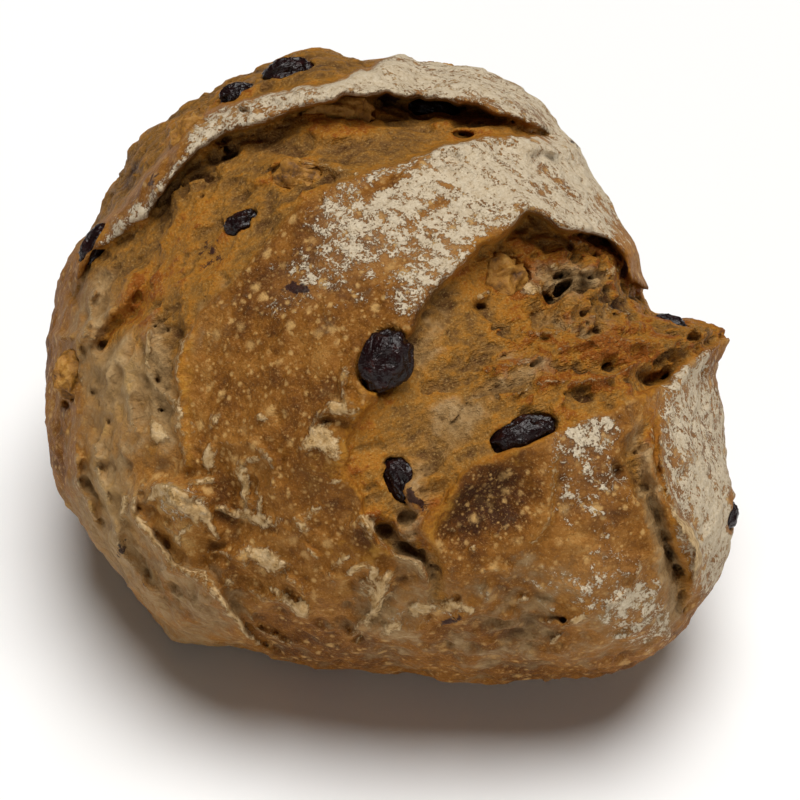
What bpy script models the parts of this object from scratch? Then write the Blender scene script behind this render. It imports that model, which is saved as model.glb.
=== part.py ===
"""Walnut raisin sourdough: an oval, hand-shaped hearth loaf that burst open along three cross cuts.

The loaf stands on its flat base at z = 0, with its long axis along Y. Lengths below are in
millimetres, and the objects are made in metres. The relief of the crust is drawn on a slanted plane
in front of the loaf, and is carried onto the dough along straight lines through a drawing point. On
that plane u runs to the right and v runs up. A second plane behind the loaf draws the far side.
"""

import math

import bmesh
import bpy
import numpy as np
import openvdb
from mathutils import Matrix, Vector

MM = 0.001

# The plain dome under the crust's relief.
LOAF_WIDTH = 123.0
LOAF_LENGTH = 153.0
LOAF_HEIGHT = 100.0
WAIST_HEIGHT = 38.0
UNDERSIDE_REACH = 50.0
DOME_POWER = 2.0
FOOT_ROUNDING = 4.0

# The middle of the finished loaf's box, from the dome's own axis.
BOX_MIDDLE = (-1.46, -2.42)

# The two drawing planes, as the turn and the height that each is looked at from.
DRAWING_REACH = 560.0
DRAWING_MIDDLE = np.array((5.0, 0.0, 34.6))
FRONT_VIEW = (-36.0, 37.0)
REAR_VIEW = (144.0, 34.0)
FRONT_FADE = (-0.45, -0.10)

# The relief is worked out on a square grid over each plane, then read at each point of the dough.
GRID_LOW, GRID_HIGH, GRID_STEP = -90.0, 90.0, 0.5
SOFTEN = 0.5

# How finely the dough is meshed.
VOXEL = 1.5
BAND = 16.0
LOAF_TRIANGLES = 8050
BASE_TRIM = 0.2

# How far the hand-shaped crust stands out from the plain dome round its rim, on the front plane:
# angle and rise, fading in between two distances from the rim's middle.
RIM_MIDDLE = (-2.0, 6.0)
RIM_RISE = [
    (-75, -5), (-60, -2), (-45, 5), (-30, 4), (-15, 0), (0, -2), (8, 3), (13, -13), (18, -16.5),
    (24, -13), (30, -9.5), (36, -8.5), (50, -0.5), (62, 2.5), (74, 3.5), (84, 0.2), (92, 2.5), (102, 5.5), (112, 4), (125, 1.5),
    (140, 0), (155, -3), (170, -1.5),
    (185, 0.5), (200, 3), (215, 2), (232, 4), (245, -4), (258, -5), (270, -8)]
RIM_FADE = (40.0, 64.0)

# Each cut runs from a lip, where an ear of crust stands up over the torn crumb, to a heel.
# Lip points: u, v, lift of the ear, drop just under it, deepest drop. Heel points: u, v, rim, drop.
UPPER_LIP = [
    (-66, 20, 0.2, 0.3, 0.3), (-60, 30, 0.9, 1.4, 1.4), (-50, 38, 1.4, 2.0, 2.0), (-41, 49, 2.0, 2.8, 2.8),
    (-30, 55, 2.2, 3.2, 3.2), (-16, 59, 2.4, 3.8, 4.0), (-8, 61.5, 3.2, 4.2, 4.2), (8, 59.5, 2.8, 3.8, 4.0),
    (20, 56.8, 2.0, 2.6, 2.8), (30, 53.4, 0.2, 0.3, 0.3)]
UPPER_HEEL = [
    (-50, -14, 0.1, 0.2), (-45, 2, 0.4, 0.9), (-43, 14, 0.5, 1.0), (-30, 28, 0.3, 0.6), (-18, 40, 0.5, 0.9),
    (-6, 45.5, 1.0, 1.6), (10, 51, 2.2, 3.2), (21, 53, 1.8, 2.4), (30, 52.6, 0.2, 0.3)]
FRONT_LIP = [
    (7, -41, 0.3, 0.3, 0.3), (5.5, -36, 1.0, 1.0, 1.0), (2.5, -31.6, 1.4, 1.4, 1.6), (-2, -30, 1.4, 1.6, 1.8),
    (-6.5, -24, 1.4, 1.6, 2.2), (-8.6, -17.4, 1.4, 1.8, 2.4), (-10.6, -11, 1.4, 1.8, 2.6),
    (-9, -6, 1.4, 1.8, 3.0), (-4, -1, 1.6, 2.2, 3.4), (-1, 10, 1.8, 2.6, 4.2), (8, 23, 2.4, 4.2, 6.6),
    (20, 33, 3.0, 6.0, 10.0),
    (25, 37.5, 3.0, 6.2, 11.2), (33, 34.5, 3.0, 6.2, 11.4), (42, 32, 2.8, 5.4, 7.5), (46, 23, 2.0, 3.8, 4.5),
    (56, 20, 0.8, 2.0, 3.0), (76, 26, 0.0, 1.0, 2.0)]
FRONT_HEEL = [
    (9, -41, 0.2, 0.3), (8.2, -35, 1.0, 1.0), (6, -29, 1.2, 1.2), (3.8, -25, 1.6, 1.8), (8, -20, 1.6, 1.8),
    (13, -14, 1.6, 1.8), (19, -11.6, 1.4, 1.6), (30, -6.6, 1.2, 1.6),
    (40, -3, 1.0, 1.2), (52, 4, 1.4, 1.4), (62, 11, 1.2, 1.4), (76, 20, 0.2, 0.4)]
REAR_LIP = [
    (-86, 30, 0, 1, 1), (-72, 50, 0, 2, 2), (-50, 66, 0, 2.5, 2.5), (-30, 76, 0, 2.5, 2.5),
    (-8, 80, 0, 2.5, 2.5), (6, 76, 0, 1, 1)]
REAR_HEEL = [
    (-72, 22, 0.2, 0.4), (-62, 33, 0.6, 1.2), (-53, 42, 0.8, 1.6), (-44, 52.5, 1.0, 2.0),
    (-37, 57.5, 1.4, 2.4), (-28, 61, 1.4, 2.4), (-16, 64, 1.4, 2.2), (-5, 67, 0.8, 1.6), (6, 72, 0.2, 0.4)]
FAR_LIP = [
    (-46, 44, 0.2, 0.4, 0.4), (-34, 54, 1.6, 2.0, 2.0), (-12, 58, 2.4, 3.2, 3.2), (14, 52, 2.6, 3.4, 3.4),
    (34, 42, 2.2, 3.0, 3.0), (50, 26, 1.6, 2.4, 2.4), (60, 8, 0.2, 0.4, 0.4)]
FAR_HEEL = [
    (-52, 56, 0, 0.4), (-20, 78, 0, 2.0), (10, 84, 0, 2.5), (44, 72, 0, 2.5), (72, 44, 0, 2.0),
    (78, 12, 0, 0.4)]
FRONT_CUTS = [(UPPER_LIP, UPPER_HEEL, 0.25), (FRONT_LIP, FRONT_HEEL, 0.38), (REAR_LIP, REAR_HEEL, 0.3)]
REAR_CUTS = [(FAR_LIP, FAR_HEEL, 0.3)]
LIP_REACH, HEEL_REACH = 9.0, 7.0

# Cracks and creases on the front plane: half width, depth, rise of the rim beside it, then the route.
FRONT_CREASES = [
    (1.7, 3.2, 0.6, [(48, 0), (49, -6), (46.5, -13), (50, -20), (53, -28), (56, -38), (58, -43)]),
    (1.8, 3.0, 0.6, [(-49, 25), (-53, 18), (-58, 13), (-62, 9)]),
    (1.2, 1.0, 0.2, [(-51, 13), (-49, 6), (-47, 0), (-46, -5)])]
REAR_CREASES = [
    (1.8, 2.4, 0.8, [(-44, 6), (-24, -8), (-6, -12), (16, -24)]),
    (1.5, 1.4, 0.5, [(6, 22), (20, 12), (38, 8)]),
    (1.4, 1.2, 0.4, [(-30, 34), (-38, 22), (-40, 10)])]

# Raised folds of crust, each standing up on the right-hand side of its route: height, reach, route.
FRONT_FLAPS = [
    (3.0, 9.0, [(53, 3), (50, -6), (51, -14), (53.5, -20), (58, -26), (59.5, -32), (57.5, -44)]),
    (1.6, 8.0, [(32, -7), (31, -16), (29, -26), (23, -31)]),
    (1.8, 5.0, [(5, -34), (2, -28), (-4, -23), (-11, -24)]),
    (1.4, 4.0, [(-42, -18), (-44, -10), (-44.4, 2), (-44, 12), (-43, 20)]),
    (1.8, 5.0, [(-54, -18), (-51, -26), (-46, -32), (-39, -35), (-33, -43), (-27, -49), (-18, -51)]),
    (1.6, 6.0, [(-12, -52), (-7, -45), (-3, -40)])]

# The dough's own unevenness: height, size of a lump, random seed.
LUMPS = [(1.1, 19.0, 3), (0.7, 7.5, 4)]

# Smooth swellings and hollows: u, v, half length, half width, turn in degrees, height.
FRONT_SWELLINGS = [(-45, -22, 12, 8, -25, 3.4), (18, -20, 17, 8, 33, -3.0)]
REAR_SWELLINGS = [(30, -8, 13, 8, 20, 2.6), (-18, 12, 16, 10, -30, 2.0)]

# Raisins and walnut pieces: plane, u, v, half length, half width, half depth, turn, depth of the middle
# below the crust there.
RAISINS = [
    ("front", -3, 7.5, 6.0, 4.6, 3.6, 72, 0.6), ("front", 24, -7.5, 6.8, 3.3, 3.0, 22, 0.6),
    ("front", -31.5, 35, 3.4, 2.3, 2.2, 20, 0.6), ("front", 6.5, 57.6, 5.4, 2.4, 3.0, -8, -0.4),
    ("front", -22, 65, 5.0, 2.9, 3.0, 6, 1.5), ("front", -32, 60.4, 3.8, 2.8, 2.8, 10, 2.2),
    ("front", -61, 31, 4.4, 2.2, 2.4, 58, 0.8), ("front", 0, -16, 5.0, 3.4, 3.0, -60, 1.6),
    ("front", 54, 14.6, 3.4, 1.9, 2.4, -14, 0.6), ("front", 65.5, -23, 2.8, 2.0, 2.4, 80, 0.8),
    ("rear", 34, 2, 4.6, 3.2, 3.0, -20, 0.8), ("rear", -28, 2, 4.8, 3.4, 3.0, 40, 1.0),
    ("rear", 10, -22, 4.2, 3.0, 2.8, 100, 1.2)]
WALNUTS = [
    ("front", -12, 57.2, 6.8, 3.5, 4.0, -5, 0.2), ("front", -65, 4.5, 4.8, 4.2, 4.0, 70, 1.6),
    ("front", -42.5, 53, 4.4, 3.1, 3.0, 65, 2.4), ("front", 20, 24, 5.6, 4.8, 4.0, 20, 1.6),
    ("front", 38, 30, 3.4, 2.8, 3.0, 80, 1.2), ("front", -20, 44, 5.2, 3.6, 3.4, -20, 1.8),
    ("rear", -8, 16, 5.4, 4.0, 3.6, 10, 1.6), ("rear", 48, -8, 4.8, 4.0, 3.6, 60, 1.6)]
PIECE_SEGMENTS, PIECE_RINGS = 10, 7
RAISIN_FURROWS, RAISIN_FURROW_DEPTH = 6, 0.09
WALNUT_FURROWS, WALNUT_FURROW_DEPTH = 4, 0.13
POCKET_GAP = 0.35


def smoothstep(x, low, high):
    t = np.clip((x - low) / (high - low), 0.0, 1.0)
    return t * t * (3.0 - 2.0 * t)


def smooth_max(a, b, radius):
    k = np.clip(0.5 + 0.5 * (a - b) / radius, 0.0, 1.0)
    return b + (a - b) * k + radius * k * (1.0 - k)


def spline(points, steps=6):
    """A Catmull-Rom curve through the points; columns past u and v are carried along."""
    p = np.array(points, float)
    p = np.vstack((2 * p[0] - p[1], p, 2 * p[-1] - p[-2]))
    t = np.arange(steps)[:, None] / steps
    spans = []
    for a, b, c, d in zip(p[:-3], p[1:-2], p[2:-1], p[3:]):
        spans.append(b + 0.5 * t * (c - a + t * (2 * a - 5 * b + 4 * c - d + t * (3 * (b - c) + d - a))))
    return np.vstack((*spans, p[-2:-1]))


class Plane:
    """A drawing plane, with its square grid of cell corners U, V."""

    axis = np.arange(GRID_LOW, GRID_HIGH + GRID_STEP / 2, GRID_STEP)
    U, V = np.meshgrid(axis, axis)

    def __init__(self, turn, height):
        a, e = math.radians(turn), math.radians(height)
        self.toward = np.array((math.sin(a) * math.cos(e), -math.cos(a) * math.cos(e), math.sin(e)))
        self.right = np.array((math.cos(a), math.sin(a), 0.0))
        self.up = np.cross(self.toward, self.right)

    def coordinates(self, points):
        offset = points - DRAWING_MIDDLE
        spread = DRAWING_REACH / (DRAWING_REACH - offset @ self.toward)
        return (offset @ self.right) * spread, (offset @ self.up) * spread

    def ray(self, u, v):
        """The drawing point and the direction from it through (u, v)."""
        start = DRAWING_MIDDLE + DRAWING_REACH * self.toward
        way = u * self.right + v * self.up - DRAWING_REACH * self.toward
        return start, way / np.linalg.norm(way)


def read_grid(grid, u, v):
    top = grid.shape[0] - 1.001
    x = np.clip((u - GRID_LOW) / GRID_STEP, 0.0, top)
    y = np.clip((v - GRID_LOW) / GRID_STEP, 0.0, top)
    i, j = x.astype(int), y.astype(int)
    x, y = x - i, y - j
    low = grid[j, i] * (1 - x) + grid[j, i + 1] * x
    high = grid[j + 1, i] * (1 - x) + grid[j + 1, i + 1] * x
    return low * (1 - y) + high * y


def soften(grid, spread):
    reach = int(3 * spread / GRID_STEP) + 1
    kernel = np.exp(-0.5 * (np.arange(-reach, reach + 1) * GRID_STEP / spread) ** 2)
    kernel /= kernel.sum()
    for axis in (0, 1):
        wide = np.pad(grid, [(reach, reach) if k == axis else (0, 0) for k in (0, 1)], mode="edge")
        grid = sum(k * np.roll(wide, -n, axis) for n, k in enumerate(kernel))
        grid = grid[: Plane.U.shape[0], : Plane.U.shape[1]]
    return grid


def nearest_on(curve):
    """Each grid corner's distance to the curve, the side it is on, and the curve's further columns there."""
    best = np.full(Plane.U.shape, 1e9)
    side = np.zeros(Plane.U.shape)
    values = np.zeros((curve.shape[1] - 2, *Plane.U.shape))
    for a, b in zip(curve[:-1], curve[1:]):
        du, dv = b[:2] - a[:2]
        t = ((Plane.U - a[0]) * du + (Plane.V - a[1]) * dv) / (du * du + dv * dv)
        t = np.clip(t, 0.0, 1.0)
        gap_u, gap_v = Plane.U - a[0] - t * du, Plane.V - a[1] - t * dv
        gap = gap_u ** 2 + gap_v ** 2
        closer = gap < best
        best[closer] = gap[closer]
        side[closer] = np.sign(gap_u * dv - gap_v * du)[closer]
        for value, start, end in zip(values, a[2:], b[2:]):
            value[closer] = start + (end - start) * t[closer]
    return np.sqrt(best), side, values


def within(outline):
    """Grid corners inside a closed outline."""
    crossed = np.zeros(Plane.U.shape, bool)
    for (ua, va), (ub, vb) in zip(outline, np.roll(outline, -1, axis=0)):
        if va == vb:
            continue
        beyond = Plane.U < ua + (ub - ua) * (Plane.V - va) / (vb - va)
        crossed ^= ((va > Plane.V) != (vb > Plane.V)) & beyond
    return crossed


def cut(lip, heel, foot):
    """A burst cut: where it is open, its drop there, and the crust's rise beside it."""
    lip, heel = spline(lip), spline(heel)
    is_open = within(np.vstack((lip[:, :2], heel[::-1, :2])))
    to_lip, _, (lift, wall, deepest) = nearest_on(lip)
    to_heel, _, (rim, heel_drop) = nearest_on(heel)
    t = to_lip / (to_lip + to_heel + 1e-6)
    drop = wall + (deepest - wall) * smoothstep(t, 0.0, foot)
    drop += (heel_drop - drop) * smoothstep(t, foot, 1.0)
    rise = lift * np.exp(-to_lip / LIP_REACH) + rim * np.exp(-to_heel / HEEL_REACH)
    return is_open, drop, rise


def tapered(route):
    """A smooth curve whose further column fades from 1 to 0 towards both ends."""
    curve = spline(route)
    along = np.linspace(0.0, 1.0, len(curve))
    return np.column_stack((curve, smoothstep(np.minimum(along, 1 - along), 0.0, 0.2)))


def crease(width, depth, rim, route):
    distance, _, (strength,) = nearest_on(tapered(route))
    away = distance / width
    return strength * (rim * np.exp(-(away - 2) ** 2) - depth * np.exp(-away ** 2))


def flap(height, reach, route):
    distance, side, (strength,) = nearest_on(tapered(route))
    return np.where(side > 0, height * strength * np.exp(-distance / reach), 0.0)


def swelling(u, v, half_length, half_width, turn, height):
    c, s = math.cos(math.radians(turn)), math.sin(math.radians(turn))
    along = ((Plane.U - u) * c + (Plane.V - v) * s) / half_length
    across = ((Plane.V - v) * c - (Plane.U - u) * s) / half_width
    return height * np.clip(1 - along ** 2 - across ** 2, 0.0, 1.0) ** 1.5


def rim_rise():
    u, v = Plane.U - RIM_MIDDLE[0], Plane.V - RIM_MIDDLE[1]
    turns, rises = np.array(RIM_RISE, float).T
    rise = np.interp(np.degrees(np.arctan2(v, u)), turns, rises, period=360)
    return soften(rise * smoothstep(np.hypot(u, v), *RIM_FADE), 1.2)


def crust_relief(cuts, creases, flaps, swellings):
    relief = np.zeros(Plane.U.shape)
    cuts = [cut(*shape) for shape in cuts]
    torn = np.any([is_open for is_open, _, _ in cuts], axis=0)
    for is_open, drop, rise in cuts:
        relief += np.where(is_open, -drop, np.where(torn, 0.0, rise))
    relief += sum(crease(*shape) for shape in creases)
    relief += sum(flap(*shape) for shape in flaps)
    relief += sum(swelling(*shape) for shape in swellings)
    return soften(relief, SOFTEN)


FRONT, REAR = Plane(*FRONT_VIEW), Plane(*REAR_VIEW)
FRONT_RIM = rim_rise()
FRONT_RELIEF = crust_relief(FRONT_CUTS, FRONT_CREASES, FRONT_FLAPS, FRONT_SWELLINGS)
REAR_RELIEF = crust_relief(REAR_CUTS, REAR_CREASES, [], REAR_SWELLINGS)


def dome(points):
    """Distance from the plain dome, and the dome's outward direction."""
    x, y, z = points[..., 0], points[..., 1], points[..., 2] - WAIST_HEIGHT
    reach = np.where(z > 0, LOAF_HEIGHT - WAIST_HEIGHT, UNDERSIDE_REACH)
    across = np.sqrt((x / (LOAF_WIDTH / 2)) ** 2 + (y / (LOAF_LENGTH / 2)) ** 2) + 1e-6
    rise = np.abs(z / reach) + 1e-6
    size = (across ** DOME_POWER + rise ** DOME_POWER) ** (1 / DOME_POWER)
    side = (across / size) ** (DOME_POWER - 1) / across
    slope = np.stack((side * x / (LOAF_WIDTH / 2) ** 2, side * y / (LOAF_LENGTH / 2) ** 2,
                      (rise / size) ** (DOME_POWER - 1) * np.sign(z) / reach), axis=-1)
    steepness = np.linalg.norm(slope, axis=-1)
    return (size - 1) / steepness, slope / steepness[..., None]


def lattice_noise(points, cell, seed):
    """Smooth noise between -1 and 1 from random values at the corners of cubes of the given size."""
    table = np.random.default_rng(seed).uniform(-1.0, 1.0, (16, 16, 16))
    place = points / cell
    corner = np.floor(place).astype(int)
    t = place - corner
    t = t * t * (3.0 - 2.0 * t)
    total = np.zeros(points.shape[:-1])
    for dx, dy, dz in np.ndindex(2, 2, 2):
        weight = np.ones(points.shape[:-1])
        for axis, step in enumerate((dx, dy, dz)):
            weight *= t[..., axis] if step else 1 - t[..., axis]
        spot = (corner + (dx, dy, dz)) % 16
        total += weight * table[spot[..., 0], spot[..., 1], spot[..., 2]]
    return total


def level(points):
    """Below zero inside the dough, above zero outside it."""
    distance, outward = dome(points)
    seen = smoothstep(outward @ FRONT.toward, *FRONT_FADE)
    front_place, rear_place = FRONT.coordinates(points), REAR.coordinates(points)
    relief = seen * read_grid(FRONT_RELIEF, *front_place) + (1 - seen) * read_grid(REAR_RELIEF, *rear_place)
    relief += sum(height * lattice_noise(points, cell, seed) for height, cell, seed in LUMPS)
    relief *= smoothstep(points[..., 2], 0.0, FOOT_ROUNDING)
    relief += seen * read_grid(FRONT_RIM, *front_place)
    return smooth_max(distance - relief, -points[..., 2], FOOT_ROUNDING)


def dough_mesh(voxel):
    """The crust's surface, as vertices and quads."""
    reach = np.array((LOAF_WIDTH / 2, LOAF_LENGTH / 2)) + BAND
    xs = np.arange(-reach[0], reach[0], voxel)
    ys = np.arange(-reach[1], reach[1], voxel)
    zs = np.arange(-4 * voxel, LOAF_HEIGHT + BAND, voxel)
    field = np.empty((len(xs), len(ys), len(zs)), np.float32)
    for i, x in enumerate(xs):
        points = np.stack(np.meshgrid([x], ys, zs, indexing="ij"), axis=-1)[0]
        field[i] = level(points)
    grid = openvdb.FloatGrid(BAND)
    grid.copyFromArray(np.clip(field, -BAND, BAND))
    corners, quads = grid.convertToQuads(0.0)
    corners = corners * voxel + (xs[0], ys[0], zs[0])
    return corners, quads


def material(name, colour, roughness):
    surface = bpy.data.materials.new(name)
    surface.use_nodes = True
    shader = surface.node_tree.nodes["Principled BSDF"]
    shader.inputs["Base Color"].default_value = (*colour, 1.0)
    shader.inputs["Roughness"].default_value = roughness
    return surface


def add_object(name, mesh, surface):
    item = bpy.data.objects.new(name, mesh)
    bpy.context.collection.objects.link(item)
    mesh.materials.append(surface)
    return item


def settle(item):
    """Apply the object's modifiers to its mesh."""
    bpy.context.view_layer.update()
    mesh = bpy.data.meshes.new_from_object(item.evaluated_get(bpy.context.evaluated_depsgraph_get()))
    item.modifiers.clear()
    item.data = mesh


def flatten_base(mesh):
    """Cut the rounded foot off just above z = 0 and close it with one flat face standing on z = 0."""
    shape = bmesh.new()
    shape.from_mesh(mesh)
    faces = shape.verts[:] + shape.edges[:] + shape.faces[:]
    plane = Vector((0.0, 0.0, BASE_TRIM * MM))
    bmesh.ops.bisect_plane(shape, geom=faces, dist=1e-7, plane_co=plane, plane_no=Vector((0, 0, 1)),
                           clear_inner=True)
    rim = [edge for edge in shape.edges if edge.is_boundary]
    bmesh.ops.contextual_create(shape, geom=rim)
    bmesh.ops.translate(shape, verts=shape.verts, vec=-plane)
    bmesh.ops.triangulate(shape, faces=shape.faces)
    bmesh.ops.recalc_face_normals(shape, faces=shape.faces)
    shape.to_mesh(mesh)
    shape.free()


def make_loaf(surface):
    corners, quads = dough_mesh(VOXEL)
    mesh = bpy.data.meshes.new("loaf")
    mesh.from_pydata((corners * MM).tolist(), [], quads.tolist())
    loaf = add_object("loaf", mesh, surface)
    thin = loaf.modifiers.new("thin", "DECIMATE")
    thin.ratio = LOAF_TRIANGLES / (2 * len(quads))
    settle(loaf)
    flatten_base(loaf.data)
    return loaf


def on_crust(plane, u, v):
    """The point where the line from the drawing point through (u, v) meets the crust."""
    start, way = plane.ray(u, v)
    steps = start + way * np.arange(DRAWING_REACH - 110, DRAWING_REACH + 110, 0.2)[:, None]
    return steps[np.argmax(level(steps) < 0)]


def wrinkled(segments, rings, furrows, depth, seed):
    """A unit ball whose surface is furrowed from end to end and uneven."""
    shape = bmesh.new()
    bmesh.ops.create_uvsphere(shape, u_segments=segments, v_segments=rings, radius=1.0)
    for vert in shape.verts:
        x, y, z = vert.co
        ridge = math.sin(furrows * math.atan2(y, x) + 2.0 * z + seed) * (1 - z * z)
        lump = math.sin(3.1 * x + 2.3 * z + 2 * seed) * math.cos(2.7 * y - 1.9 * z + seed)
        vert.co *= 1.0 + depth * ridge + 0.8 * depth * lump
    return shape


def add_piece(name, surface, placing, furrows, depth, seed, swell=0.0):
    """A raisin or walnut piece lying in the crust, made larger by swell for its pocket."""
    side, u, v, length, width, thick, turn, below = placing
    plane = FRONT if side == "front" else REAR
    start, way = plane.ray(u, v)
    middle = on_crust(plane, u, v) + below * way
    c, s = math.cos(math.radians(turn)), math.sin(math.radians(turn))
    along = c * plane.right + s * plane.up
    across = c * plane.up - s * plane.right
    shape = wrinkled(PIECE_SEGMENTS, PIECE_RINGS, furrows, depth, seed)
    reach = np.array((width, thick, length)) + swell
    axes = np.column_stack((across, plane.toward, along)) * reach
    placed = Matrix((axes * MM).tolist()).to_4x4()
    placed.translation = Vector((middle * MM).tolist())
    bmesh.ops.transform(shape, matrix=placed, verts=shape.verts)
    bmesh.ops.triangulate(shape, faces=shape.faces)
    bmesh.ops.recalc_face_normals(shape, faces=shape.faces)
    mesh = bpy.data.meshes.new(name)
    shape.to_mesh(mesh)
    shape.free()
    return add_object(name, mesh, surface)


def add_pieces(name, surface, places, furrows, depth):
    """The pieces of one kind, and the larger copies of them that their pockets are cut with."""
    pieces, cutters = [], []
    for count, placing in enumerate(places, start=1):
        label = f"{name}_{count:02d}"
        pieces.append(add_piece(label, surface, placing, furrows, depth, count))
        cutters.append(add_piece(label + "_pocket", surface, placing, furrows, depth, count, POCKET_GAP))
    return pieces, cutters


def cut_pockets(loaf, cutters):
    pockets = bpy.data.collections.new("pockets")
    bpy.context.scene.collection.children.link(pockets)
    for cutter in cutters:
        pockets.objects.link(cutter)
    hollow = loaf.modifiers.new("pockets", "BOOLEAN")
    hollow.operation = "DIFFERENCE"
    hollow.solver = "EXACT"
    hollow.operand_type = "COLLECTION"
    hollow.collection = pockets
    settle(loaf)
    for cutter in cutters:
        bpy.data.objects.remove(cutter)
    bpy.data.collections.remove(pockets)


def centre(items):
    """Put the middle of the whole part's box on the Z axis."""
    shift = Matrix.Translation((-BOX_MIDDLE[0] * MM, -BOX_MIDDLE[1] * MM, 0.0))
    for item in items:
        item.data.transform(shift)


def main():
    for item in list(bpy.data.objects):
        bpy.data.objects.remove(item)
    crust = material("crust", (0.27, 0.13, 0.045), 0.85)
    raisin = material("raisin", (0.012, 0.005, 0.006), 0.35)
    walnut = material("walnut", (0.30, 0.15, 0.05), 0.7)
    loaf = make_loaf(crust)
    raisins, raisin_pockets = add_pieces("raisin", raisin, RAISINS, RAISIN_FURROWS, RAISIN_FURROW_DEPTH)
    walnuts, walnut_pockets = add_pieces("walnut", walnut, WALNUTS, WALNUT_FURROWS, WALNUT_FURROW_DEPTH)
    cut_pockets(loaf, raisin_pockets + walnut_pockets)
    centre([loaf, *raisins, *walnuts])


main()
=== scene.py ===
"""Walnut raisin sourdough: the dressed loaf, its raisins and walnut pieces, floor, light and camera.

Lengths are in millimetres until a mesh is made, and then in metres. The crust's relief and its
colours are drawn on a slanted plane in front of the loaf, with u to the right and v up, and are
carried onto the dough along straight lines through a drawing point. A second plane behind the loaf
draws the far side. The large forms have the same values as the loaf's solid.
"""

import math

import bmesh
import bpy
import numpy as np
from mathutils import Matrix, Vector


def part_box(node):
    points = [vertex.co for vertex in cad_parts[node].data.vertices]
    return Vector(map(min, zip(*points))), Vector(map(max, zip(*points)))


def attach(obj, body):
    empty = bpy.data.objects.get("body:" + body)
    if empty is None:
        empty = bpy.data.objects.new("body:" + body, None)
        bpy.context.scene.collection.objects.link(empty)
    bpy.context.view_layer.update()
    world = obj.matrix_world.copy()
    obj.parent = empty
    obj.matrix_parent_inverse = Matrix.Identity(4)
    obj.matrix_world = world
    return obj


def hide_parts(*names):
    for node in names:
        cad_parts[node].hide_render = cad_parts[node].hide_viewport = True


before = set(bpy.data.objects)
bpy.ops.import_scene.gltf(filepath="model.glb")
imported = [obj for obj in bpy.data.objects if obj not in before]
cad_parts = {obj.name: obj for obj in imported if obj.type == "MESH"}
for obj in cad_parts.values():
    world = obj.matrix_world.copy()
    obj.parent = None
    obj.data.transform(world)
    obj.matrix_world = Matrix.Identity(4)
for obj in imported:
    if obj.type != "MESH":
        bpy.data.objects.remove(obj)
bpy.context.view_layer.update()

import openvdb
from mathutils import Matrix, Vector

MM = 0.001

# The plain dome under the crust's relief.
LOAF_WIDTH = 123.0
LOAF_LENGTH = 153.0
LOAF_HEIGHT = 100.0
WAIST_HEIGHT = 38.0
UNDERSIDE_REACH = 50.0
DOME_POWER = 2.0
FOOT_ROUNDING = 4.0

# The middle of the finished loaf's box, from the dome's own axis.
BOX_MIDDLE = (-1.46, -2.42)

# The two drawing planes, as the turn and the height that each is looked at from.
DRAWING_REACH = 560.0
DRAWING_MIDDLE = np.array((5.0, 0.0, 34.6))
FRONT_VIEW = (-36.0, 37.0)
REAR_VIEW = (144.0, 34.0)
FRONT_FADE = (-0.45, -0.10)

# The relief is worked out on a square grid over each plane, then read at each point of the dough.
GRID_LOW, GRID_HIGH, GRID_STEP = -90.0, 90.0, 0.36
SOFTEN = 0.3
CAVITY_SPREAD = 2.5

# How finely the dough is meshed.
VOXEL = 0.6
BAND = 16.0
SKIN_TRIANGLES = 195000
BASE_TRIM = 0.2

# How far the hand-shaped crust stands out from the plain dome round its rim, on the front plane:
# angle and rise, fading in between two distances from the rim's middle.
RIM_MIDDLE = (-2.0, 6.0)
RIM_RISE = [
    (-75, -5), (-60, -2), (-45, 5), (-30, 4), (-15, 0), (0, -2), (8, 3), (13, -13), (18, -16.5), (24, -13),
    (30, -9.5), (36, -8.5), (50, -0.5), (62, 2.5), (74, 3.5), (84, 0.2), (92, 2.5), (102, 5.5), (112, 4),
    (125, 1.5), (140, 0), (155, -3), (170, -1.5), (185, 0.5), (200, 3), (215, 2), (232, 4), (245, -4),
    (258, -5), (270, -8)]
RIM_FADE = (40.0, 64.0)
RIM_SOFTEN = 1.2

# Each cut runs from a lip, where an ear of crust stands up over the torn crumb, to a heel.
# Lip points: u, v, lift of the ear, drop just under it, deepest drop. Heel points: u, v, rim, drop.
UPPER_LIP = [
    (-66, 20, 0.2, 0.3, 0.3), (-60, 30, 0.9, 1.4, 1.4), (-50, 38, 1.4, 2, 2), (-41, 49, 2, 2.8, 2.8),
    (-30, 55, 2.2, 3.2, 3.2), (-16, 59, 2.4, 3.8, 4), (-8, 61.5, 3.2, 4.2, 4.2), (8, 59.5, 2.8, 3.8, 4),
    (20, 56.8, 2, 2.6, 2.8), (30, 53.4, 0.2, 0.3, 0.3)]
UPPER_HEEL = [
    (-50, -14, 0.1, 0.2), (-45, 2, 0.4, 0.9), (-43, 14, 0.5, 1), (-30, 28, 0.3, 0.6), (-18, 40, 0.5, 0.9),
    (-6, 45.5, 1, 1.6), (10, 51, 2.2, 3.2), (21, 53, 1.8, 2.4), (30, 52.6, 0.2, 0.3)]
FRONT_LIP = [
    (7, -41, 0.3, 0.3, 0.3), (5.5, -36, 1, 1, 1), (2.5, -31.6, 1.4, 1.4, 1.6), (-2, -30, 1.4, 1.6, 1.8),
    (-6.5, -24, 1.4, 1.6, 2.2), (-8.6, -17.4, 1.4, 1.8, 2.4), (-10.6, -11, 1.4, 1.8, 2.6),
    (-9, -6, 1.4, 1.8, 3), (-4, -1, 1.6, 2.2, 3.4), (-1, 10, 1.8, 2.6, 4.2), (8, 23, 2.4, 4.2, 6.6),
    (20, 33, 3, 6, 10), (25, 37.5, 3, 6.2, 11.2), (33, 34.5, 3, 6.2, 11.4), (42, 32, 2.8, 5.4, 7.5),
    (46, 23, 2, 3.8, 4.5), (56, 20, 0.8, 2, 3), (76, 26, 0, 1, 2)]
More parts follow.
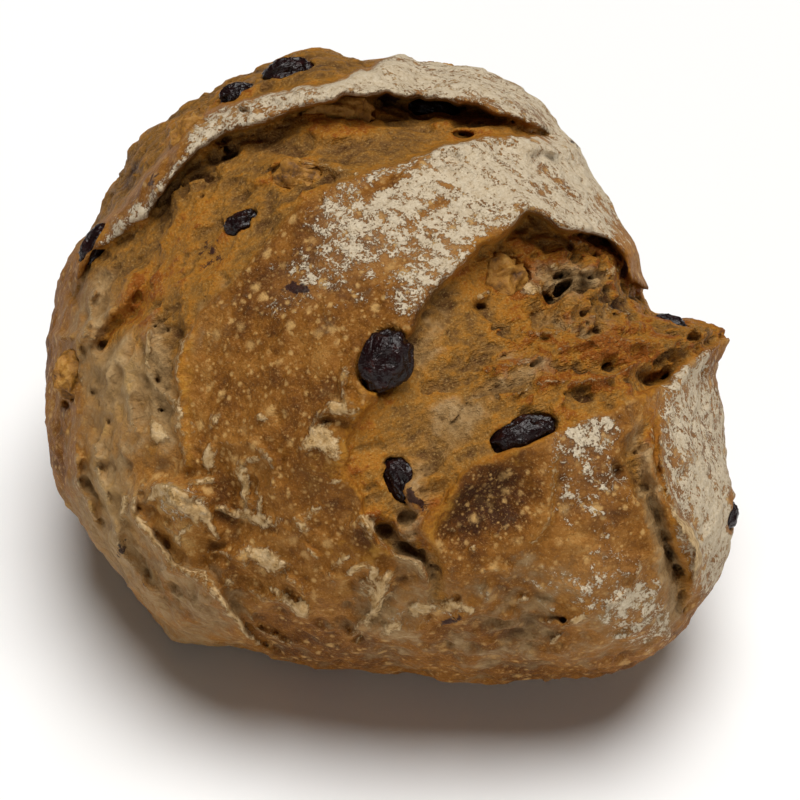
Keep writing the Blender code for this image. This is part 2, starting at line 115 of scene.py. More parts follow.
FRONT_HEEL = [
    (9, -41, 0.2, 0.3), (8.2, -35, 1, 1), (6, -29, 1.2, 1.2), (3.8, -25, 1.6, 1.8), (8, -20, 1.6, 1.8),
    (13, -14, 1.6, 1.8), (19, -11.6, 1.4, 1.6), (30, -6.6, 1.2, 1.6), (40, -3, 1, 1.2), (52, 4, 1.4, 1.4),
    (62, 11, 1.2, 1.4), (76, 20, 0.2, 0.4)]
REAR_LIP = [
    (-86, 30, 0, 1, 1), (-72, 50, 0, 2, 2), (-50, 66, 0, 2.5, 2.5), (-30, 76, 0, 2.5, 2.5),
    (-8, 80, 0, 2.5, 2.5), (6, 76, 0, 1, 1)]
REAR_HEEL = [
    (-72, 22, 0.2, 0.4), (-62, 33, 0.6, 1.2), (-53, 42, 0.8, 1.6), (-44, 52.5, 1, 2), (-37, 57.5, 1.4, 2.4),
    (-28, 61, 1.4, 2.4), (-16, 64, 1.4, 2.2), (-5, 67, 0.8, 1.6), (6, 72, 0.2, 0.4)]
FAR_LIP = [
    (-46, 44, 0.2, 0.4, 0.4), (-34, 54, 1.6, 2, 2), (-12, 58, 2.4, 3.2, 3.2), (14, 52, 2.6, 3.4, 3.4),
    (34, 42, 2.2, 3, 3), (50, 26, 1.6, 2.4, 2.4), (60, 8, 0.2, 0.4, 0.4)]
FAR_HEEL = [
    (-52, 56, 0, 0.4), (-20, 78, 0, 2), (10, 84, 0, 2.5), (44, 72, 0, 2.5), (72, 44, 0, 2), (78, 12, 0, 0.4)]
# A cut: lip, heel, and the share of its width that the wall under the lip takes.
FRONT_CUTS = [(UPPER_LIP, UPPER_HEEL, 0.25), (FRONT_LIP, FRONT_HEEL, 0.38), (REAR_LIP, REAR_HEEL, 0.3)]
REAR_CUTS = [(FAR_LIP, FAR_HEEL, 0.3)]
LIP_REACH, HEEL_REACH = 9.0, 7.0

# Cracks and creases: half width, depth, rise of the rim beside it, then the route.
FRONT_CREASES = [
    (1.7, 3.2, 0.6, [(48, 0), (49, -6), (46.5, -13), (50, -20), (53, -28), (56, -38), (58, -43)]),
    (1.8, 3, 0.6, [(-49, 25), (-53, 18), (-58, 13), (-62, 9)]),
    (1.2, 1, 0.2, [(-51, 13), (-49, 6), (-47, 0), (-46, -5)])]
REAR_CREASES = [
    (1.8, 2.4, 0.8, [(-44, 6), (-24, -8), (-6, -12), (16, -24)]),
    (1.5, 1.4, 0.5, [(6, 22), (20, 12), (38, 8)]), (1.4, 1.2, 0.4, [(-30, 34), (-38, 22), (-40, 10)])]

# Raised folds of crust, each standing up on the right-hand side of its route: height, reach, route.
FRONT_FLAPS = [
    (3, 9, [(53, 3), (50, -6), (51, -14), (53.5, -20), (58, -26), (59.5, -32), (57.5, -44)]),
    (1.6, 8, [(32, -7), (31, -16), (29, -26), (23, -31)]),
    (1.8, 5, [(5, -34), (2, -28), (-4, -23), (-11, -24)]),
    (1.4, 4, [(-42, -18), (-44, -10), (-44.4, 2), (-44, 12), (-43, 20)]),
    (1.8, 5, [(-54, -18), (-51, -26), (-46, -32), (-39, -35), (-33, -43), (-27, -49), (-18, -51)]),
    (1.6, 6, [(-12, -52), (-7, -45), (-3, -40)])]

# The dough's own unevenness: height, size of a lump, random seed.
LUMPS = [(1.1, 19.0, 3), (0.7, 7.5, 4)]

# Smooth swellings and hollows: u, v, half length, half width, turn in degrees, height.
FRONT_SWELLINGS = [(-45, -22, 12, 8, -25, 3.4), (18, -20, 17, 8, 33, -3.0)]
REAR_SWELLINGS = [(30, -8, 13, 8, 20, 2.6), (-18, 12, 16, 10, -30, 2.0)]

# Raisins and walnut pieces: plane, half length, half width, half depth, turn on the plane.
RAISINS = [
    ("front", 6, 4.6, 3.6, 72), ("front", 6.8, 3.3, 3, 22), ("front", 3.4, 2.3, 2.2, 20),
    ("front", 5.4, 2.4, 3, -8), ("front", 5, 2.9, 3, 6), ("front", 3.8, 2.8, 2.8, 10),
    ("front", 4.4, 2.2, 2.4, 58), ("front", 5, 3.4, 3, -60), ("front", 3.4, 1.9, 2.4, -14),
    ("front", 2.8, 2, 2.4, 80), ("rear", 4.6, 3.2, 3, -20), ("rear", 4.8, 3.4, 3, 40),
    ("rear", 4.2, 3, 2.8, 100)]
WALNUTS = [
    ("front", 6.8, 3.5, 4, -5), ("front", 4.8, 4.2, 4, 70), ("front", 4.4, 3.1, 3, 65),
    ("front", 5.6, 4.8, 4, 20), ("front", 3.4, 2.8, 3, 80), ("front", 5.2, 3.6, 3.4, -20),
    ("rear", 5.4, 4, 3.6, 10), ("rear", 4.8, 4, 3.6, 60)]

# From the row's frame to the dome's own frame.
DOUGH_SHIFT = np.array((*BOX_MIDDLE, BASE_TRIM))

# How ragged the drawn edges are: how far they stray, the size of a stray, random seed.
RAGGED = [(0.9, 7.0, 11), (0.5, 2.8, 12), (0.3, 1.3, 13)]

# The fine texture: how near the surface it is worked out, and how the torn crumb's strands lie.
FINE_BAND = 4.0
STRAND_TURN, STRAND_STRETCH = 20.0, 0.45
RIDGE_GAIN, CREASE_GAIN, CHIP_RISE = 1.6, 1.0, 1.0
RIDGE_PALENESS, CREASE_DARKENING, CRACK_TEAR = 0.42, 0.25, 1.3

# The raisins and walnut pieces, and the pockets that they sit in: the gap, how far off the dough still
# feels them, how soft the pocket's rim is, and the swollen dough round it (height, distance, width).
PIECE_EASE = 0.1
PIECE_SUBDIVISIONS = 5
POCKET_EASE = -0.15
POCKET_REACH = 4
POCKET_SOFTNESS = 0.7
POCKET_SWELL = (0.5, 0.8, 1.3)

# The toasted halo round each piece: its reach, where it fades, and its straying (height, size, seed).
HALO_REACH = 2.0
HALO_FADE = (0.75, 1.1)
HALO_STRAY = (0.35, 3.0, 41)
# The paler foot of the loaf fades out between these heights.
UNDER_FADE = (2.0, 16.0)
# How strongly the hollows and the fine relief set the height value, which paints shade into the colours:
# darker in the hollows, lighter on the raised parts.
CAVITY_SHADE, FINE_SHADE = 0.2, 0.26

# Colours, as linear red, green and blue.
CRUST_STOPS = [
    (0, (0.46, 0.27, 0.085)), (0.3, (0.34, 0.146, 0.026)), (0.52, (0.24, 0.088, 0.009)),
    (0.75, (0.125, 0.040, 0.003)), (1, (0.045, 0.013, 0.002))]
CRUMB_STOPS = [
    (0, (0.07, 0.024, 0.004)), (0.3, (0.17, 0.078, 0.018)), (0.55, (0.28, 0.126, 0.020)),
    (0.8, (0.40, 0.158, 0.014)), (1, (0.27, 0.075, 0.005))]
GREY_STOPS = [
    (0, (0.12, 0.068, 0.024)), (0.5, (0.33, 0.205, 0.086)), (1, (0.52, 0.36, 0.18))]
ORANGE_STOPS = [
    (0.3, (0.20, 0.062, 0.004)), (0.5, (0.38, 0.145, 0.009)), (0.75, (0.52, 0.25, 0.035))]
CHIP_STOPS = [
    (0.2, (0.38, 0.22, 0.07)), (0.5, (0.58, 0.38, 0.17)), (0.8, (0.72, 0.53, 0.30))]
FLOUR_STOPS = [
    (0.1, (0.40, 0.29, 0.17)), (0.4, (0.58, 0.47, 0.32)), (0.8, (0.72, 0.62, 0.46))]
RAISIN_STOPS = [
    (0.3, (0.003, 0.001, 0.001)), (0.6, (0.012, 0.003, 0.003)), (0.85, (0.05, 0.010, 0.006))]
WALNUT_STOPS = [
    (0.25, (0.06, 0.022, 0.005)), (0.5, (0.34, 0.15, 0.022)), (0.8, (0.57, 0.32, 0.08))]
PALE_FLECK = (0.59, 0.35, 0.12, 1.0)
CRUMB_SPARK = (0.50, 0.31, 0.10, 1.0)
STAIN = (0.030, 0.011, 0.011, 1.0)
DEEP_SHADE = (0.06, 0.022, 0.004, 1.0)
RAISIN_BLOOM = (0.22, 0.19, 0.18, 1.0)
FLOOR_COLOUR = (0.93, 0.93, 0.93, 1.0)

# The crust's noises, from broad to finest: cells to a metre, detail, roughness. Then the flour's
# streaks and the crumb's strands, and the pale flecks (cells to a metre, share left out, strength).
CRUST_NOISES = [(70, 3, 0.55), (120, 3, 0.55), (240, 4, 0.6), (800, 4, 0.65), (2400, 3, 0.7)]
STREAK_NOISE, STRAND_NOISE = (420, 4, 0.65), (520, 4, 0.65)
FLOUR_STREAK_TURN, FLOUR_STREAK_STRETCH = -38.0, 0.35
FLECKS = [(260, 0.30, 0.8), (520, 0.25, 0.75), (900, 0.35, 0.6)]
CRUST_BUMP, RAISIN_BUMP, WALNUT_BUMP = 0.0016, 0.0005, 0.0008
CRUST_SHINE, RAISIN_SHINE, WALNUT_SHINE = 0.15, 0.3, 0.25

# The studio: each light's direction from the drawing plane's middle (right, up, towards the camera),
# its strength, its spread in degrees and its colour.
FLOOR_REACH = 4.0
SKY_STRENGTH = 0.03
LIGHT_COLOUR = (1.0, 0.99, 0.97)
LIGHTS = [
    ("key", (0.10, 0.77, 0.63), 3.3, 40.0),
    ("fill", (-0.30, -0.42, 0.85), 0.45, 20.0),
    ("side", (0.85, -0.1, 0.4), 0.3, 30.0)]
SENSOR_WIDTH = 36.0
PICTURE_WIDTH = 160.0

# ---- Colour maps: each is drawn on a plane as soft dabs over a ground value.
# A dab: u, v, half length, half width, turn, strength. Rags are where the surface is roughest, stains
# are raisin under the skin, and chips are nut and dry dough stuck to it.
FRONT_DABS = {
    "flour": [
        (0, 44.6, 6, 1, 35, -0.5), (-5, 41.5, 6, 0.9, 25, -0.5), (8, 42.8, 4, 0.8, -15, -0.45),
        (8, 39.4, 3, 0.9, 10, -0.4), (21, 43.2, 3, 0.7, 10, -0.4), (33, 42, 3.5, 1, -50, -0.5),
        (3, 36, 5, 0.8, 30, -0.35), (-7, 38, 4, 0.8, 60, -0.3), (26, 46, 20, 9, 14, 0.68),
        (2, 38, 15, 9, 35, 0.36), (-12, 37, 6, 9, 0, 0.16), (2, 45, 22, 4, 28, 0.3),
        (38, 38, 9, 8, -50, 0.52), (8, 27, 14, 4.6, 47, 0.43), (-10, 28, 20, 10, 30, 0.24),
        (-24, 23, 14, 6, 20, 0.12), (12, 64, 40, 6, -4, 0.66), (36, 56, 12, 6, -45, 0.36),
        (-24, 59.5, 22, 4, 22, 0.52), (-46, 42, 16, 2.4, 50, 0.4), (-26, 58.8, 4, 1.6, 0, -0.15),
        (-56, 32, 10, 4, 55, 0.42), (60, -8, 9, 20, 6, 0.58), (63, -30, 6, 14, 10, 0.5),
        (37, -7, 9, 4, 22, 0.30), (39, -16, 8, 14, 10, 0.30), (43, -36, 9, 9, 0, 0.26),
        (16, -20, 10, 6, 33, -0.3), (51, -20, 2.6, 24, 13, -0.7), (31, -24, 4, 10, 10, 0.12),
        (50, -44, 9, 8, 30, 0.34), (26, -38, 16, 8, 0, 0.14), (-45, -20, 10, 5, -20, 0.22),
        (-14, -20, 8, 6, 0, 0.1), (4, -43, 8, 3, 10, 0.28), (-2, 2, 3, 10, -25, 0.2)],
    "bake": [
        (42, 10, 10, 5, 15, 0.14), (48, 6, 5, 5, 0, 0.16), (30, 4, 12, 4, 10, 0.1),
        (-20, 10, 26, 26, 0, 0.06), (-24, 28, 16, 10, 30, 0.14), (-40, 50, 34, 12, 45, 0.10),
        (17, -19, 13, 8, 33, 0.48), (-6, -28, 6, 4, 0, 0.3), (-28, -10, 10, 8, 0, -0.05),
        (-46, 22, 8, 18, -25, -0.12), (-54, -4, 12, 34, 5, -0.22), (-44, -24, 16, 12, -20, -0.06),
        (46, -30, 26, 22, 0, -0.05), (40, -14, 12, 12, 0, 0.16), (-28, 8, 14, 12, 0, 0.05),
        # The dab at (20, -50) darkens the low front: painted shade towards the bottom.
        (20, -50, 44, 10, 0, 0.15), (-30, -46, 26, 12, -20, 0.10), (-12, -14, 14, 12, 0, 0.04),
        (20, 48, 30, 12, 10, -0.05), (-22, -18, 22, 6, 10, 0.12), (-6, 14, 5, 12, -30, 0.06)],
    "grey": [
        # The dab at (33, 22) pales the cut's wall under the front ear: partly its ashy colour, partly painted
        # light in the ear's shade.
        (24, 14, 10, 5, 20, 0.28), (33, 22, 9, 6, 0, 0.4), (8, 12, 5, 9, -40, 0.3),
        (-47.5, 4, 3, 16, 4, 0.85), (-58, -2, 10, 30, 4, 0.5), (-60, -26, 12, 12, 0, 0.5),
        (33, 25, 9, 4, -10, 0.65), (12, -2, 8, 5, 30, 0.55), (26, 5.5, 6, 3, 20, 0.5),
        (38, 14, 9, 3, 10, 0.4), (2, -25, 5, 12, 10, 0.8), (50.5, -20, 3, 22, 13, 0.8),
        (18, -19, 13, 8, 33, -0.6), (8, -8, 9, 8, 40, 0.35), (20, 1, 6, 4, 30, 0.3),
        (28, -44, 36, 12, 6, 0.5), (-56, 10, 7, 14, 0, 0.3), (-55, 18, 3, 9, -33, -0.9),
        (-10, -40, 14, 10, 0, 0.1), (-46, -40, 14, 12, -40, 0.4), (-38, 16, 5, 8, 0, 0.35),
        (4, 10, 4, 12, -25, 0.25), (-62, 14, 6, 12, 0, 0.35), (-36, -46, 16, 10, -30, 0.34),
        (-4, -44, 10, 8, 0, 0.3)],
    "orange": [
        (24, 15, 10, 4, 20, -0.35), (33, 22, 8, 5, 0, -0.4), (4, 20, 5, 8, -40, -0.5),
        (14, 55, 10, 3, -10, 0.5), (26, 10, 16, 9, 10, 0.7), (12, 9, 9, 5, 0, -0.25),
        (-55, 18, 2.4, 9, -33, 1), (-46, 32, 6, 8, -30, 0.3), (42, 8, 12, 6, 30, 0.6),
        (6, -2, 8, 8, 40, 0.3), (-10, -2, 8, 7, 20, 0.5), (-7, -13, 7, 8, -30, 0.5),
        # The dabs at (20, 26) and (42, 29) brighten the cut's wall under the front ear: partly its toasted
        # colour, partly painted light in the ear's shade.
        (6, -23, 3.5, 8, -20, 0.8), (18, -19, 10, 5, 33, 0.35), (20, 26, 12, 6, 10, 0.75),
        (42, 29, 9, 7, -20, 0.7), (-12, 56, 10, 4, 0, 0.7), (16, 32, 9, 6, 30, 0.5),
        (-38, 30, 7, 10, -30, 0.5), (-50, 20, 4, 8, -30, 0.8), (50, -6, 2.4, 10, 0, 0.9),
        (-10, -31, 10, 5, -10, 0.6), (-22, -16, 16, 7, 10, 0.35), (57, -30, 2.2, 12, 13, 0.7),
        (-11, 57, 8, 4, 0, 0.8), (-25, 57.5, 5, 2, 20, 0.8), (-40, -24, 8, 4, -20, 0.4),
        (8, -45, 8, 3, 10, 0.6), (-42, 4, 2.5, 16, 0, 0.4)],
    "rags": [
        (28, 8, 20, 12, 15, 1.2), (34, 26, 14, 10, 0, 1), (54, 13, 14, 8, 10, 1.3), (4, -26, 8, 10, 0, 0.6),
        (51, -20, 5, 26, 13, 0.8), (-56, 0, 10, 26, 0, 0.6), (-44, -24, 14, 10, -20, 0.9),
        (6, -44, 14, 6, 0, 0.9), (-26, -36, 24, 16, -20, 0.7), (24, -46, 30, 10, 0, 0.5),
        (36, 24, 9, 7, 0, 0.7), (-50, 22, 8, 12, -30, 0.1), (-40, 52, 14, 8, 40, 0.5),
        (-20, 43, 10, 6, 0, 0.7)],
    "stain": [
        (-20.6, 22.8, 3, 0.9, 0, 1.2), (44.2, 25.8, 2.2, 0.9, 80, 1.2), (-38, 29.4, 4.4, 3, 60, 0.45),
        (-2.4, 60.4, 2.6, 0.7, 0, 1.1), (-23, 17.6, 2.4, 1, 20, 0.4), (3, -20, 4, 1.4, -45, 0.7),
        (-3, -13, 2.6, 1.2, 60, 0.6), (-64, 36, 6, 1, 55, 0.8), (-49, 43.5, 2.4, 0.9, 50, 0.7),
        (-51, -36.4, 1, 0.8, 0, 0.6), (-55, -30, 4, 1, 70, 0.6), (10, -44.6, 3.4, 0.9, 25, 0.7),
        (34, 52, 2, 0.5, -30, 0.6), (-10, 52, 3, 1, 10, 0.3), (20, -26, 3, 1.2, 60, 0.4)],
    "chip": [
        (-15, -7.6, 4.6, 2.4, -48, 1), (-12.2, -1.8, 2.4, 1, -20, 1), (-18.6, -8.6, 2.4, 1.8, 20, 0.7),
        (-27, -31.2, 4.8, 2, -24, 1), (-19.8, -41.8, 2, 1.6, 0, 1.1), (-24, -38.6, 3, 0.7, -40, 0.9),
        (-11.6, -32, 2.4, 0.8, 30, 0.8), (-5.4, -37, 5, 2.4, 20, 0.5), (-44, -21, 5, 2.2, -30, 0.5),
        (-55, -21.5, 0.8, 3, 0, 0.8), (-48.6, -6.6, 2, 1.8, 0, 0.8), (-40, -16.4, 4, 0.7, 8, 0.7),
        (3.4, -42.6, 2.2, 1.4, 10, 0.9), (10.6, -41.4, 2.4, 1.3, 10, 0.8), (-1.6, -46, 2, 1.2, 0, 0.8),
        (-38, -11.6, 1.9, 3.6, 8, 1), (-31.4, -17, 1, 5, 0, 0.8), (-27, -23.4, 3.4, 2, 0, 0.6),
        (-29.6, -12.6, 1.2, 1, 0, 0.8), (-34, -22, 7, 0.9, -14, 0.7), (-49, -19.6, 3.2, 0.8, 62, 0.7),
        (-12, -16, 1.6, 1, 20, 0.7), (-20, -25, 2.2, 1.2, -30, 0.7), (-34, -37, 2, 0.9, -30, 0.7),
        (-6, -24, 1.6, 0.9, -40, 0.7), (24, -40, 2.2, 1, 20, 0.6), (36, -44, 1.8, 1, 0, 0.6),
        (-41, -21.5, 4.4, 0.8, -30, 0.7), (-43, -26, 3.6, 0.7, 48, 0.6), (-38, -25, 4.4, 0.6, -40, 0.6),
        (-29, -19.6, 3, 0.8, -80, 0.6), (-17, -23, 2.6, 0.9, 20, 0.6), (-9, -34, 3.2, 0.8, 30, 0.6),
        (-4.6, -35, 1.6, 0.8, 60, 0.7), (-66, 5, 4, 2.4, 70, 0.5), (15, -29.6, 1.4, 0.9, 30, 0.7),
        (11, -26, 1, 0.7, 0, 0.7), (14, -42, 1.4, 0.8, 0, 0.8), (-37, -3.6, 1.8, 1.2, 30, 0.8),
        (-3.4, -40.6, 5, 2.6, 40, 0.4), (6.2, -41.6, 4, 2.2, 10, 0.5), (-27.6, -4.2, 1.4, 1, 0, 0.8),
        (-49.6, -6.2, 1, 3, 10, 0.7), (17, 21, 1.8, 1, 30, 0.8), (25.3, 22.7, 2.2, 1.4, -10, 1),
        (31, 27, 1.6, 0.9, 60, 0.8), (42, 26, 2.4, 1.2, 30, 0.6), (35, 32, 2, 0.9, 0, 0.6),
        (31, -48, 2.4, 0.9, 30, 0.7), (-42, -6, 0.8, 7, 8, 0.4), (-50, 12, 0.7, 6, -6, 0.5)]}
REAR_DABS = {
    "flour": [
        (6, 44, 32, 7, -20, 0.5), (-34, 38, 14, 10, 40, 0.36), (40, 24, 10, 12, -50, 0.38),
        (-10, 26, 22, 9, -14, 0.30), (-2, 12, 24, 8, -10, 0.18), (-48, 0, 8, 22, 0, 0.34),
        (24, -8, 20, 8, -20, 0.2), (-26, -24, 14, 8, 20, 0.14)],
    "bake": [
        (0, 10, 34, 24, 0, 0.08), (0, -44, 60, 14, 0, 0.10), (36, 0, 18, 20, 0, 0.1),
        (-14, -20, 20, 8, -20, 0.16), (16, 8, 14, 10, 30, 0.18), (-34, 14, 8, 16, 10, -0.14),
        (40, -30, 14, 10, 0, -0.1)],
    "grey": [
        (0, -44, 60, 14, 0, 0.35), (-50, -10, 10, 24, 0, 0.35), (-14, -34, 16, 8, 10, 0.4),
        (30, -20, 12, 8, -30, 0.3), (4, 0, 16, 6, -20, 0.25)],
    "orange": [
        (10, 52, 30, 7, -20, 0.6), (-20, -8, 20, 5, -30, 0.5), (-36, 20, 8, 12, 10, 0.4),
        (10, 16, 14, 6, 10, 0.4), (30, 30, 10, 8, -30, 0.3)],
    "rags": [
        (0, 56, 36, 12, -10, 0.8), (-10, -10, 30, 8, -20, 0.6), (0, -38, 40, 10, 0, 0.5),
        (-34, 10, 10, 20, 0, 0.4)],
    "stain": [
        (-12, -30, 2.6, 1, 30, 0.9), (22, -30, 2.2, 0.9, -40, 0.8), (-40, 22, 2.4, 1, 70, 0.8),
        (18, 34, 2.8, 0.9, -10, 0.7), (2, -6, 3.4, 1.2, 20, 0.5), (48, 12, 2, 0.9, 60, 0.7),
        (-50, -24, 2.4, 1, 60, 0.6)],
    "chip": [
        (-20, -30, 4, 1.2, 20, 0.9), (14, -38, 5, 1.4, -20, 0.8), (34, -16, 3, 1.4, 40, 0.8),
        (-8, 2, 3, 1.2, 60, 0.7), (-34, -14, 2.6, 1.4, -40, 0.8), (4, -20, 2, 1.2, 10, 0.9),
        (28, -38, 3.4, 1, 20, 0.8), (44, -28, 2.2, 1.4, 70, 0.8), (-44, -30, 3, 1.2, 50, 0.8),
        (20, 12, 2.2, 1.2, 30, 0.7), (-30, 6, 1.8, 1.2, 0, 0.8)]}
GROUND = {"bake": 0.52, "rags": 0.7}
# Where the crust has closed again over a cut.
FRONT_HEALED = [(-58, 3, 7.5, 18, 13, 1.5)]
# How wide the toasted bands beside the lips, heels and folds are, and how strong.
LIP_BAND, HEEL_BAND = 1.3, 1.2
PALE_EDGE, TOASTED_EDGE = 0.5, 1.4
LIP_BROWNING, FOLD_PALENESS, RIM_GLOW = 0.4, 0.55, 0.65

# Small folds and ridges that only the dressed crust has: half width, height, route.
FRONT_RIDGES = [
    (0.8, 1, [(-50, -16), (-53, -21), (-51, -27)]), (0.8, 1, [(-50, -17), (-44, -19), (-37, -19)]),
    (0.6, 0.9, [(-47, -20), (-42, -23), (-38, -28)]), (0.6, 0.8, [(-44, -21), (-39, -23), (-35, -28)]),
    (0.7, 0.8, [(-48, -24), (-45, -28), (-41, -31)]),
    (0.9, 1, [(-32, -36), (-26, -40), (-20, -42), (-18, -46)]),
    (0.7, 0.9, [(-12, -36), (-8, -34), (-4, -34)]), (0.8, 1, [(-18, -3), (-13, -2), (-8, -4)]),
    (0.7, -1, [(-17, -5), (-12, -4.5), (-7, -7)]), (0.7, 0.8, [(-62, -6), (-60, -16), (-57, -24)]),
    (0.8, 0.9, [(-57, -22), (-55, -30), (-49, -40)]), (0.7, -0.8, [(-54, -24), (-52, -32), (-46, -40)]),
    (0.8, 0.9, [(-70, 12), (-64, 13), (-60, 11)]),
    (0.7, 1, [(-50.6, 16), (-50, 9.4), (-48.6, 3), (-45.6, -1), (-45.4, -8)]),
    (0.8, 0.8, [(8, -46), (16, -42), (20, -36)]), (0.8, -0.8, [(4, -47), (12, -45), (18, -40)]),
    (0.9, 0.9, [(-6, 44), (-12, 46), (-20, 47), (-27, 44)]), (0.8, 0.8, [(40, -44), (46, -38), (48, -30)]),
    (1.3, -1, [(49, -15), (51.5, -24), (54, -31), (56.5, -39)]),
    (0.7, 1.2, [(52, -4), (52.6, -12), (55, -20), (59, -30), (58.6, -42)]),
    (1, 0.9, [(-54, -20), (-51, -27), (-46, -33), (-39, -36.5), (-33, -44), (-27, -50)]),
    (1.2, -0.35, [(-56, -21), (-53.4, -28), (-48, -35.4), (-41, -39), (-35, -46), (-30, -51)]),
    (0.7, -1.1, [(-10.6, -50.4), (-6.4, -44.8), (0, -37.6), (2.2, -35)]),
    (0.8, 0.9, [(-12, -49), (-8, -43.6), (-1.8, -36.4), (0.6, -33.6)]),
    (0.8, 0.8, [(-40, -30), (-33, -31), (-29, -35)]), (0.7, 0.8, [(-31, -42), (-26, -47), (-18, -49)]),
    (0.7, -0.8, [(-18, -32), (-12, -34), (-8, -40)]), (0.7, 0.7, [(14, -36), (20, -34), (26, -36)]),
    (0.7, -0.7, [(12, -39), (20, -38), (28, -40)]), (0.7, 0.7, [(26, -44), (34, -45), (40, -42)]),
    (0.6, 0.7, [(-29, -10), (-26, -14), (-26, -20)]), (0.7, 0.8, [(-66, -8), (-64, -18), (-60, -26)]),
    (0.7, -0.8, [(-64, -10), (-61, -20), (-58, -26)]), (0.7, 0.8, [(-60, 24), (-63, 16), (-66, 8)]),
    (0.7, 0.8, [(-56, 8), (-54, 0), (-53, -8)]),
    (0.8, 1.3, [(-12.4, -26), (-7.8, -24.4), (-3, -29), (0, -31), (3.4, -32.6), (6.4, -38)]),
    (0.9, 1.2, [(-11.5, 8), (-11.4, 2), (-9.4, -1.8), (-6, -3)]),
    (0.7, -0.8, [(-30, -22), (-22, -27), (-14, -30)]), (0.8, 0.7, [(-26, -24), (-18, -30), (-12, -38)]),
    (0.7, 0.7, [(-37, -8), (-30, -9), (-24, -14)]), (0.8, -0.7, [(20, -30), (26, -38), (36, -42)]),
    (0.8, 0.7, [(-24, -34), (-20, -38), (-20, -45)]), (0.6, 0.9, [(20, 14), (30, 13), (40, 17), (50, 17)]),
    (0.6, 0.9, [(14, 6), (26, 8), (38, 12), (56, 11)]), (0.7, -1, [(24, 9), (34, 10), (44, 13), (54, 13)]),
    (0.6, 0.8, [(16, -4), (28, 3), (42, 5), (48, 9)])]
REAR_RIDGES = [
    (0.8, 0.9, [(-48, 4), (-36, -4), (-24, -4)]), (0.8, -0.8, [(-30, -22), (-18, -30), (-4, -32)]),
    (0.8, 0.8, [(12, -36), (22, -30), (34, -30), (44, -22)]), (0.7, 0.8, [(-4, 0), (8, 4), (20, 2)]),
    (0.9, -0.8, [(34, 20), (44, 12), (50, 0)]), (0.7, 0.8, [(-54, 10), (-52, -4), (-54, -18)]),
    (0.8, 0.8, [(-24, 30), (-14, 33), (0, 32)]), (0.8, -0.8, [(-8, -42), (6, -40), (16, -44)])]
# Holes in the crumb and the crust, and lumps where the depth is below zero:
# u, v, half width, half height, depth.
FRONT_PITS = [
    (37, 28, 8, 5, -2.6), (-12, 54, 9, 2.6, -1.8), (18, 54.5, 10, 1.8, -2), (29, 50.5, 5, 1.4, -1.6),
    (-61, 1.4, 0.7, 1, 2.2), (-66.6, -0.6, 0.6, 1.1, 1.8), (-57.6, -3.8, 0.45, 1.4, 1.6),
    (34, 31.2, 0.8, 0.9, 2.2), (26.8, 33, 1.2, 0.5, 1.6), (22, 33.6, 0.8, 0.5, 1.4),
    (33.4, 23.4, 0.6, 0.6, 1.6), (36.2, 21.2, 1, 0.5, 1.4), (45.8, 16.2, 0.7, 0.6, 1.6),
    (58.2, 12.4, 1.3, 0.8, 1.6), (50.6, 4.6, 3.6, 1.5, 3), (52.4, -26, 0.8, 1.4, 0.9),
    (55.2, -34, 0.9, 1.2, 1), (16.2, 18.4, 1.6, 1, 2.6), (43.6, -15.2, 0.6, 1.7, 2.4),
    (-13, 56.6, 1.2, 0.7, 2), (-36, 57.4, 1.6, 0.9, 2.4), (-31.8, 57.8, 1, 0.8, 2),
    (-26, 58.6, 2.4, 0.6, 1), (-24.6, 44.6, 0.8, 0.5, 1.6), (-20.6, 46.6, 0.7, 0.9, 1.4),
    (-16.6, 45.6, 0.6, 1, 1.4), (-13, 43, 0.9, 0.7, 1.8), (13, 52.8, 2.4, 0.5, 1.2),
    (-4, 45.4, 0.9, 0.6, 1), (-53, 53, 0.5, 1.5, 1.2), (8, 27, 0.7, 0.4, 0.8), (31, 13, 0.6, 0.4, 1.4),
    (46, 20.5, 1, 0.5, 1.4), (26, 2, 0.6, 0.9, 1.4), (20, 5.2, 0.5, 0.9, 1.2), (11, 6.6, 0.5, 0.5, 0.8)]
REAR_PITS = [
    (-16, -22, 0.8, 1, 1.8), (26, -14, 0.9, 0.7, 1.8), (-42, 12, 0.7, 1.2, 1.8), (8, 54, 1, 0.7, 2),
    (-14, 62, 1.3, 0.8, 2.2), (28, 52, 0.9, 0.7, 2), (12, -28, 0.7, 0.9, 1.4), (40, 16, 0.8, 0.8, 1.6)]


def smoothstep(x, low, high):
    t = np.clip((x - low) / (high - low), 0.0, 1.0)
    return t * t * (3.0 - 2.0 * t)


def smooth_max(a, b, radius):
    k = np.clip(0.5 + 0.5 * (a - b) / radius, 0.0, 1.0)
    return b + (a - b) * k + radius * k * (1.0 - k)


def cos_sin(turn):
    return math.cos(math.radians(turn)), math.sin(math.radians(turn))


def spline(points, steps=6):
    """A Catmull-Rom curve through the points; columns past u and v are carried along."""
    p = np.array(points, float)
    p = np.vstack((2 * p[0] - p[1], p, 2 * p[-1] - p[-2]))
    t = np.arange(steps)[:, None] / steps
    spans = []
    for a, b, c, d in zip(p[:-3], p[1:-2], p[2:-1], p[3:]):
        spans.append(b + 0.5 * t * (c - a + t * (2 * a - 5 * b + 4 * c - d + t * (3 * (b - c) + d - a))))
    return np.vstack((*spans, p[-2:-1]))


